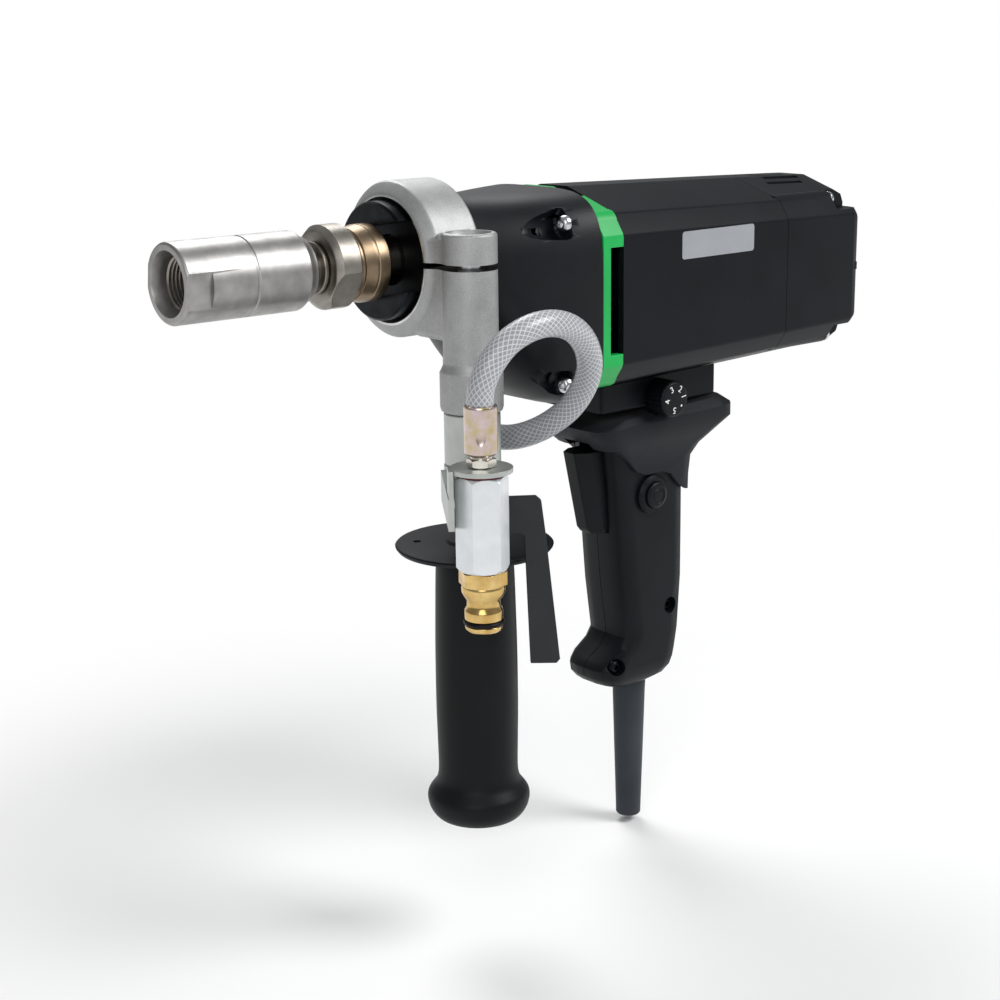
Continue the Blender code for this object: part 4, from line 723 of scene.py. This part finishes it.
def makeValve(s):
    x, y = s["axis"]

    def stand(piece):
        return moved(piece, (x, y, 0), s["turn"])

    bottom, top = span("valve_body")
    flat = s["acrossFlats"] / 2
    stem = sum(corner.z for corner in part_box("valve_ball")) / 2 / mm
    body = hexBar("valveBody", s["acrossFlats"], bottom, top, s["hexTurn"], dullChrome)
    ends = spun("ends", [(bottom - 0.5, 0), (bottom - 0.5, flat - 0.3), (bottom + 1.8, flat * 1.17),
                         (top - 1.8, flat * 1.17), (top + 0.5, flat - 0.3), (top + 0.5, 0)],
                None, zAxis, 96)
    carve(body, ends, "INTERSECT")
    carve(body, moved(rod(5.5, flat - 3, flat + 5, yAxis, 48), (0, 0, stem)), "UNION")
    carve(body, rod(s["way"], bottom - 2, top + 2, zAxis, 48))
    carve(body, moved(rod(2.8, 2, flat + 8, yAxis, 32), (0, 0, stem)))
    finished(stand(body), "valve_body", edge=0.3)

    low = span("water_nipple")[0]
    nipple = spun("waterNipple", [(low + a, r) for a, r in s["nipple"]], turnedBrass, zAxis, 96)
    carve(nipple, hexBar("hex", s["nippleHex"], low - 1, low + 40, s["nippleTurn"]), "INTERSECT")
    finished(stand(nipple), "water_nipple", edge=0.2)
    height, middleRadius, thick = s["seal"]
    loop = [(low + height + thick * math.sin(a), middleRadius + thick * math.cos(a))
            for a in (math.pi * k / 10 for k in range(20))]
    finished(stand(spun("nippleSeal", loop, sealRubber, zAxis, 64)), "nipple_o_ring", edge=0)

    low, high = span("hose_ferrule")
    radius = s["ferruleRadius"]
    ferrule = spun("hoseFerrule", [
        (low, 2.4), (low, 6.2), (low + 0.9, radius), (high - 1.2, radius), (high - 0.2, 6.8), (high, 6.4),
        (high, 6.1), (low + 1.4, 6.1), (low + 1.2, 2.4)], yellowZinc, zAxis)
    bm = bmesh.new()
    bmesh.ops.create_uvsphere(bm, u_segments=32, v_segments=16, radius=1.0)
    bmesh.ops.scale(bm, vec=Vector((3.0, 1.0, 6.0)) * mm, verts=bm.verts)
    dimple = moved(newPiece("dimple", bm), (0, -7.3, (low + high) / 2))
    carve(ferrule, moved(dimple, turn=-5))
    finished(stand(ferrule), "hose_ferrule", edge=0.12)

    low, high = span("hose_tail")
    shelf = span("valve_bracket")[1]
    tail = spun("hoseTail", [(low, 1.9), (low, 3.9), (shelf + 0.3, 3.9), (shelf + 0.3, 4.7),
                             (high - 0.4, 4.7), (high, 4.3), (high, 1.9)], nickelPlate, zAxis, 64)
    nut = hexBar("nut", s["tailNut"], shelf + 0.3, shelf + 3.9, 20)
    ends = spun("ends", [(shelf, 0), (shelf + 0.3, 5.3), (shelf + 0.9, 6.4), (shelf + 3.3, 6.4),
                         (shelf + 3.9, 5.3), (shelf + 4.2, 0)], None, zAxis, 64)
    carve(tail, carve(nut, ends, "INTERSECT"), "UNION")
    finished(stand(tail), "hose_tail", edge=0.15)

    finished(copied("valveBracket", "valve_bracket", zincPlate), "valve_bracket", edge=0.3)
    low, high = span("valve_gasket")
    gasket = spun("valveGasket", [(low, 4.6), (low, 10.4), (low + 0.2, 10.6), (high - 0.2, 10.6),
                                  (high, 10.4), (high, 4.6)], redFibre, zAxis, 64)
    finished(stand(gasket), "valve_gasket", edge=0)
    finished(copied("valveLever", "valve_lever", paintedSteel), "valve_lever", edge=0.5, segments=3)
    finished(copied("valveBall", "valve_ball", groundSteel), "valve_ball", edge=0.2)


makeValve(valveSettings)
print("water valve made")

# gear case: a rounded casting that grows from the neck to the motor's size
caseSettings = {
    # distance behind the neck's face, half width, half height, middle height, squareness
    "levels": [(34.3, 28.6, 27.6, -1.0, 2.0), (35.1, 29.8, 28.8, -1.3, 2.0),
               (38.0, 31.9, 31.0, -3.6, 2.1), (42.0, 34.2, 33.3, -6.6, 2.2),
               (48.0, 37.1, 37.1, -10.4, 2.45), (56.0, 40.2, 41.2, -14.6, 2.75),
               (64.0, 42.9, 45.0, -18.3, 3.1), (74.0, 45.6, 48.6, -21.6, 3.5),
               (84.0, 47.9, 50.2, -23.0, 3.9), (94.0, 49.0, 51.0, -23.5, 4.2)],
    "wall": 4.0,
    "points": 96,
    "bearingBore": 24.3,
    "boss": 9.5,
    "bossShare": 0.8,  # how far out a boss stands, as a share of its screw's place
    "screwHole": 2.2,
    "pocket": 7.2,
    "pocketDepth": 79.5,
    "bossFront": (67.0, 76.0),  # where the upper and the lower screws' bosses start
    "corner": (40.0, 37.0),  # screw places beside and above the motor's axis
    "motorAxis": -23.5,
}


def superellipse(bm, x, halfWidth, halfHeight, middleHeight, power, points):
    ring = bmesh.ops.create_circle(bm, segments=points, radius=1.0)["verts"]
    for v in ring:
        beside, above = v.co.x, v.co.y
        v.co = Vector((x, halfWidth * math.copysign(abs(beside) ** (2 / power), beside),
                       middleHeight + halfHeight * math.copysign(abs(above) ** (2 / power), above))) * mm
    return list(dict.fromkeys(e for v in ring for e in v.link_edges))


def lofted(name, levels, points, material=None):
    bm = bmesh.new()
    rings = [superellipse(bm, *level, points) for level in levels]
    for near, far in zip(rings, rings[1:]):
        bmesh.ops.bridge_loops(bm, edges=near + far)
    for ring in (rings[0], rings[-1]):
        bmesh.ops.contextual_create(bm, geom=ring)
    return newPiece(name, bm, material)


def makeGearCase(s):
    case = lofted("gearCase", s["levels"], s["points"], blackCastingAndShade)
    wall, motorAxis = s["wall"], s["motorAxis"]
    inner = [(43.0, 27.0, 26.5, -3.0, 2.0)]
    inner += [(x, w - wall, h - wall, z, p) for x, w, h, z, p in s["levels"][5:-1]]
    inner.append((97.0, 44.6, 46.6, motorAxis, 4.2))
    carve(case, lofted("hollow", inner, 64))
    carve(case, rod(s["bearingBore"], 30, 46, xAxis, 96))
    across, above = s["corner"]
    floor, share = s["pocketDepth"], s["bossShare"]
    corners = [(y, z) for y in (-across, across) for z in (motorAxis + above, motorAxis - above)]
    for y, z in corners:
        front = s["bossFront"][0 if z > motorAxis else 1]
        boss = rod(s["boss"], front, 94, xAxis, 48)
        carve(case, moved(boss, (0, y * share, motorAxis + (z - motorAxis) * share)), "UNION")
    for y, z in corners:
        pocket = spun("pocket", [
            (floor - 30, 0), (floor - 28, 3.2), (floor - 20, 5.2), (floor - 10, 6.9),
            (floor - 3.0, s["pocket"] + 0.8), (floor - 1.0, s["pocket"] + 0.6),
            (floor, s["pocket"] - 0.4), (floor, 0)], None, xAxis, 64)
        carve(case, moved(pocket, (0, y, z)))
        carve(case, moved(rod(s["screwHole"], 70, 95, xAxis, 24), (0, y, z)))
    inlet = middle("water_inlet") / mm
    carve(case, moved(rod(5.0, -60, -20, zAxis, 48), (inlet.x, inlet.y, 0)))
    carve(case, moved(rod(6.6, -60, -38, zAxis, 48), (inlet.x, inlet.y, 0)))
    finished(case, "gear_case", edge=0.6, segments=3, angle=36)
    low, high = span("water_inlet")
    fitting = spun("waterInlet", [(low, 2.2), (low, 5.2), (low + 0.8, 6.3), (-43.0, 6.3), (-42.2, 5.6),
                                  (-42.2, 4.7), (high, 4.7), (high, 2.2)], turnedBrass, zAxis, 64)
    finished(moved(fitting, (inlet.x, inlet.y, 0)), "water_inlet", edge=0.2)


makeGearCase(caseSettings)
print("gear case made")

# screws: domed heads with a hex socket
screwSettings = {
    "dome": 0.36,  # shares of the head's height, its width and its height
    "socketShare": 0.42,
    "socketDepth": 0.62,
    "gearHead": 3.6,
    "rearHead": 3.0,
    "gripHead": 2.4,
}


def makeScrew(s, node, heading, finish):
    # heading: the way the head faces
    low, high = boxInMm(node)
    centre = (low + high) / 2
    i = "XYZ".index(heading[1])
    forward = 1 if heading[0] == "+" else -1
    tip, crown = (low[i], high[i]) if forward > 0 else (high[i], low[i])
    radius = (high[(i + 1) % 3] - low[(i + 1) % 3]) / 2
    headHeight = s[node.split("_")[0] + "Head"]
    seat = abs(crown - tip) - headHeight
    shank = 1.9 if radius > 3.7 else 1.5
    full = seat + headHeight
    bend = s["dome"] * headHeight
    outline = [(0, 0), (0, shank - 0.4), (0.6, shank), (seat, shank), (seat, radius - 0.2),
               (seat + 0.2, radius), (full - bend * 2.2, radius), (full - bend * 1.2, radius * 0.95),
               (full - bend * 0.5, radius * 0.82), (full - bend * 0.12, radius * 0.62),
               (full, radius * 0.45), (full, 0)]
    screw = spun(node.replace("_", " ").title().replace(" ", ""), outline, finish, zAxis, 48)
    socketFloor = full - headHeight * s["socketDepth"]
    carve(screw, hexBar("socket", radius * 2 * s["socketShare"], socketFloor, full + 1))
    quarter = {"X": Matrix.Rotation(math.radians(90 * forward), 4, "Y"),
               "Y": Matrix.Rotation(math.radians(-90 * forward), 4, "X")}[heading[1]]
    screw.data.transform(quarter)
    start = centre.copy()
    start[i] = tip
    finished(moved(screw, start), node, edge=0.12)


for number in range(1, 5):
    makeScrew(screwSettings, f"gear_case_screw_{number}", "-X", brightZinc)
    makeScrew(screwSettings, f"rear_cap_screw_{number}", "+X", brightZinc)
for number in (1, 2):
    makeScrew(screwSettings, f"grip_screw_{number}", "-Y", blackOxideSteel)
print("screws made")

# motor housing, rear cap and green band keep the CAD's facets, with their corners rounded
housingSettings = {"edge": 2.2, "capEdge": 1.4, "bandEdge": 0.4}


def makeHousing(s):
    housing = copied("motorHousing", "motor_housing", blackNylon)
    finished(housing, "motor_housing", edge=s["edge"], segments=3)
    finished(copied("rearCap", "rear_cap", blackNylon), "rear_cap", edge=s["capEdge"], segments=3)
    finished(copied("trimBand", "trim_band", greenNylon), "trim_band", edge=s["bandEdge"])


labelSettings = {
    "from": 146.5,
    "to": 198.0,
    "top": 5.0,
    "bottom": -8.2,
    "corner": 1.6,
    "thickness": 0.25,
    "taperStart": 107.0,
    "taperLength": 117.0,
    "taper": 0.06,  # the share of its half width that the motor loses over that length
    "halfWidth": 48.5,
}


def makeLabel(s):  # a sticker with nothing on it, on the tapering near side of the motor
    bm = bmesh.new()
    bmesh.ops.create_grid(bm, x_segments=1, y_segments=1, size=0.5)
    bmesh.ops.scale(bm, vec=((s["to"] - s["from"]) * mm, (s["top"] - s["bottom"]) * mm, 1), verts=bm.verts)
    bmesh.ops.bevel(bm, geom=list(bm.verts), offset=s["corner"] * mm, offset_type="OFFSET", segments=5,
                    profile=0.5, affect="VERTICES", material=-1)
    raiseFaces(bm, list(bm.faces), s["thickness"])
    label = newPiece("plainLabel", bm, labelVinyl)
    label.data.transform(Matrix.Rotation(math.radians(90), 4, "X"))
    slope = s["halfWidth"] * s["taper"] / s["taperLength"]
    along = (s["from"] + s["to"]) / 2
    side = s["halfWidth"] - slope * (along - s["taperStart"])
    moved(label, turn=math.degrees(math.atan(slope)))
    moved(label, (along, -side + 0.02, (s["top"] + s["bottom"]) / 2))
    finished(label, "motor_housing", stands=False, edge=0.08)


makeHousing(housingSettings)
makeLabel(labelSettings)
print("motor made")

# control block, saddle, grip, trigger, lock button and cable sleeve
gripSettings = {"gripEdge": 0.45, "saddleEdge": 0.8, "blockEdge": 0.3, "triggerEdge": 0.3}


def makeGrip(s):
    for side in ("left", "right"):
        half = copied("grip" + side.title(), "grip_" + side, gripNylon, flatness=0.3)
        finished(half, "grip_" + side, edge=s["gripEdge"], angle=40)
    saddle = copied("gripSaddle", "grip_saddle", softRubber, flatness=0.3)
    finished(saddle, "grip_saddle", edge=s["saddleEdge"], segments=3, angle=40)
    finished(copied("controlBlock", "control_block", blackNylon), "control_block", edge=s["blockEdge"])
    trigger = copied("trigger", "trigger", gripNylon, flatness=0.3)
    finished(trigger, "trigger", edge=s["triggerEdge"], angle=38)
    low, high = boxInMm("lock_button")
    centre = middle("lock_button") / mm
    radius = (high.x - low.x) / 2
    button = spun("lockButton", [
        (low.y, 0), (low.y, radius * 0.42), (low.y + 0.45, radius * 0.5), (low.y + 0.45, radius * 0.6),
        (low.y, radius * 0.68), (low.y + 0.25, radius * 0.86), (low.y + 0.9, radius), (high.y, radius),
        (high.y, 0)], gripNylon, yAxis, 64)
    finished(moved(button, (centre.x, 0, centre.z)), "lock_button", edge=0.15)
    low, high = boxInMm("cable_sleeve")
    centre = middle("cable_sleeve") / mm
    sleeve = spun("cableSleeve", [
        (low.z, 3.6), (low.z, 6.0), (low.z + 0.8, 6.6), (-306, 6.7), (-275, 7.6), (-240, 8.6), (-236, 8.8),
        (-233.6, 8.8), (-233, 8.4), (-233, 6.6), (-225.7, 6.6), (-225.7, 9), (high.z, 9), (high.z, 3.6)],
        sleeveRubber, zAxis, 64)
    finished(moved(sleeve, (centre.x, 0, 0)), "cable_sleeve", edge=0.15)


# speed dial: a fluted wheel with the digits 1 to 5 and a dot on its face
dialSettings = {
    "radius": 9.0,
    "flutes": 24,
    "fluteRadius": 0.55,
    "stem": 2.9,
    "digitSize": 4.6,
    "ring": 5.5,
    "digits": {"1": 8, "2": 56, "3": 118, "4": 186, "5": 262},  # degrees anticlockwise from +X on the face
    "dot": 318,
    "dotRadius": 0.55,
    "inkHeight": 0.04,
}


def makeDial(s):
    low, high = boxInMm("speed_dial")
    centre = middle("speed_dial") / mm
    face, back, radius = low.y, high.y, s["radius"]
    dial = spun("speedDial", [
        (face, 0), (face, radius - 1.5), (face + 0.3, radius - 0.7), (face + 1.2, radius),
        (back - 5.6, radius), (back - 5.6, s["stem"]), (back, s["stem"]), (back, 0)], gripNylon, yAxis, 96)
    for k in range(s["flutes"]):
        flute = moved(rod(s["fluteRadius"], face + 1.0, back - 5, yAxis, 10), (radius + 0.15, 0, 0))
        carve(dial, moved(flute, turn=360 * k / s["flutes"], about=yAxis))
    finished(moved(dial, (centre.x, 0, centre.z)), "speed_dial", edge=0.12)
    marks = bmesh.new()
    for text, degrees in s["digits"].items():
        digit = bpy.data.curves.new("digit", "FONT")
        digit.body, digit.size = text, s["digitSize"] * mm
        digit.extrude = s["inkHeight"] * mm
        digit.align_x, digit.align_y = "CENTER", "CENTER"
        holder = bpy.data.objects.new("digit", digit)
        bpy.context.scene.collection.objects.link(holder)
        bpy.context.view_layer.update()
        shape = bpy.data.meshes.new_from_object(holder.evaluated_get(bpy.context.evaluated_depsgraph_get()))
        bpy.data.objects.remove(holder)
        turn = math.radians(degrees)
        shape.transform(Matrix.Rotation(turn - math.pi / 2, 4, "Z"))
        shape.transform(Matrix.Translation(Vector((math.cos(turn), math.sin(turn), 0)) * s["ring"] * mm))
        marks.from_mesh(shape)
        bpy.data.meshes.remove(shape)
    turn = math.radians(s["dot"])
    dot = bmesh.ops.create_circle(marks, cap_ends=True, segments=24, radius=s["dotRadius"] * mm)["verts"]
    bmesh.ops.translate(marks, vec=Vector((math.cos(turn), math.sin(turn), 0)) * s["ring"] * mm, verts=dot)
    disc = [f for f in marks.faces if all(v in dot for v in f.verts)]
    raiseFaces(marks, disc, s["inkHeight"])
    digits = newPiece("dialDigits", marks, whiteInk)
    digits.data.transform(Matrix.Rotation(math.radians(90), 4, "X"))
    finished(moved(digits, (centre.x, face - 0.03, centre.z)), "speed_dial", stands=False, edge=0)


makeGrip(gripSettings)
makeDial(dialSettings)
print("grip and controls made")

# inner parts keep their CAD shapes
innerFinishes = {
    "output_gear": groundSteel, "layshaft": groundSteel, "armature_shaft": groundSteel,
    "armature_core": laminatedSteel, "stator_core": laminatedSteel, "field_coils": windingCopper,
    # the bearing plate is aluminium: the near black finish on it is painted shade, standing for the shade
    # inside the case
    "commutator": windingCopper, "cooling_fan": blackNylon, "bearing_plate": blackCastingAndShade,
    "front_spindle_bearing": groundSteel, "rear_spindle_bearing": groundSteel,
    "front_armature_bearing": groundSteel, "rear_armature_bearing": groundSteel,
    "spindle_water_seal": sealRubber, "brush_holder_left": turnedBrass, "brush_holder_right": turnedBrass,
    "trigger_switch": palePhenolic, "speed_controller": palePhenolic,
}
for node, finish in innerFinishes.items():
    mesh = frame["nodes"][node].data
    mesh.materials.clear()
    mesh.materials.append(finish)
print("inner parts finished")

# floor, backdrop and light
stageSettings = {
    "floorDrop": 0.004,  # metres
    "floorSize": 6.0,
    "paperReach": 0.18,  # metres from the tool where the lit paper starts to fade into plain white
    "whiteReach": 0.48,
    "roomLevel": 0.36,
    "aim": (0.09, -0.02, -0.12),  # metres, as the lamps' places are
    "lamps": [("keyLamp", (0.75, -0.9, 0.9), 0.8, 15),  # name, place, width, watts
              ("fillLamp", (-0.8, -0.8, 0.5), 0.9, 5),
              ("backLamp", (0.4, 0.8, 0.9), 0.8, 9)],
}


def seenOrMirrored(tree):
    # 1 for what the camera sees, straight or in a mirror, and 0 for what lights the tool
    rays = tree.nodes.new("ShaderNodeLightPath")
    total = rays.outputs["Is Camera Ray"]
    for kind in ("Is Glossy Ray", "Is Transmission Ray"):
        either = tree.nodes.new("ShaderNodeMath")
        either.operation = "MAXIMUM"
        tree.links.new(total, either.inputs[0])
        tree.links.new(rays.outputs[kind], either.inputs[1])
        total = either.outputs["Value"]
    return total


def makeFloor(s):
    bm = bmesh.new()
    bmesh.ops.create_grid(bm, x_segments=1, y_segments=1, size=s["floorSize"])
    floor = newPiece("floor", bm)
    floor.location = (0.11, 0, cadBounds[0][2] - s["floorDrop"])
    paper = startMaterial("whitePaper", {"Roughness": 0.9, "Base Color": linear("#F7F7F7")})
    tree = paper.node_tree
    where = addNode(paper, "ShaderNodeTexCoord")
    away = addNode(paper, "ShaderNodeVectorMath", {"operation": "LENGTH"}, {0: (where, "Object")})
    fade = addNode(paper, "ShaderNodeMapRange",
                   {"From Min": s["paperReach"], "From Max": s["whiteReach"],
                    "interpolation_type": "SMOOTHSTEP"}, {"Value": (away, "Value")})
    share = addNode(paper, "ShaderNodeMath", {"operation": "MULTIPLY"}, {0: (fade, "Result")})
    tree.links.new(seenOrMirrored(tree), share.inputs[1])
    white = addNode(paper, "ShaderNodeEmission", {"Strength": 1.0})
    whole = addNode(paper, "ShaderNodeMixShader", None, {"Fac": (share, "Value"),
                                                         1: (tree.nodes["Principled BSDF"], "BSDF"),
                                                         2: (white, "Emission")})
    tree.links.new(whole.outputs["Shader"], tree.nodes["Material Output"].inputs["Surface"])
    floor.data.materials.append(paper)


def makeRoom(s):
    world = bpy.data.worlds.new("softRoom")
    bpy.context.scene.world = world
    world.use_nodes = True
    tree = world.node_tree
    room = tree.nodes["Background"]
    room.inputs["Color"].default_value = linear("#E9EAEC")
    room.inputs["Strength"].default_value = s["roomLevel"]
    rays = tree.nodes.new("ShaderNodeLightPath")
    white = tree.nodes.new("ShaderNodeBackground")
    white.inputs["Color"].default_value = (1, 1, 1, 1)
    whole = tree.nodes.new("ShaderNodeMixShader")
    tree.links.new(rays.outputs["Is Camera Ray"], whole.inputs["Fac"])
    tree.links.new(room.outputs["Background"], whole.inputs[1])
    tree.links.new(white.outputs["Background"], whole.inputs[2])
    tree.links.new(whole.outputs["Shader"], tree.nodes["World Output"].inputs["Surface"])


def makeStage(s):
    makeFloor(s)
    makeRoom(s)
    for name, place, width, watts in s["lamps"]:
        makeLamp(name, place, s["aim"], width, watts)


makeStage(stageSettings)
print("stage made")
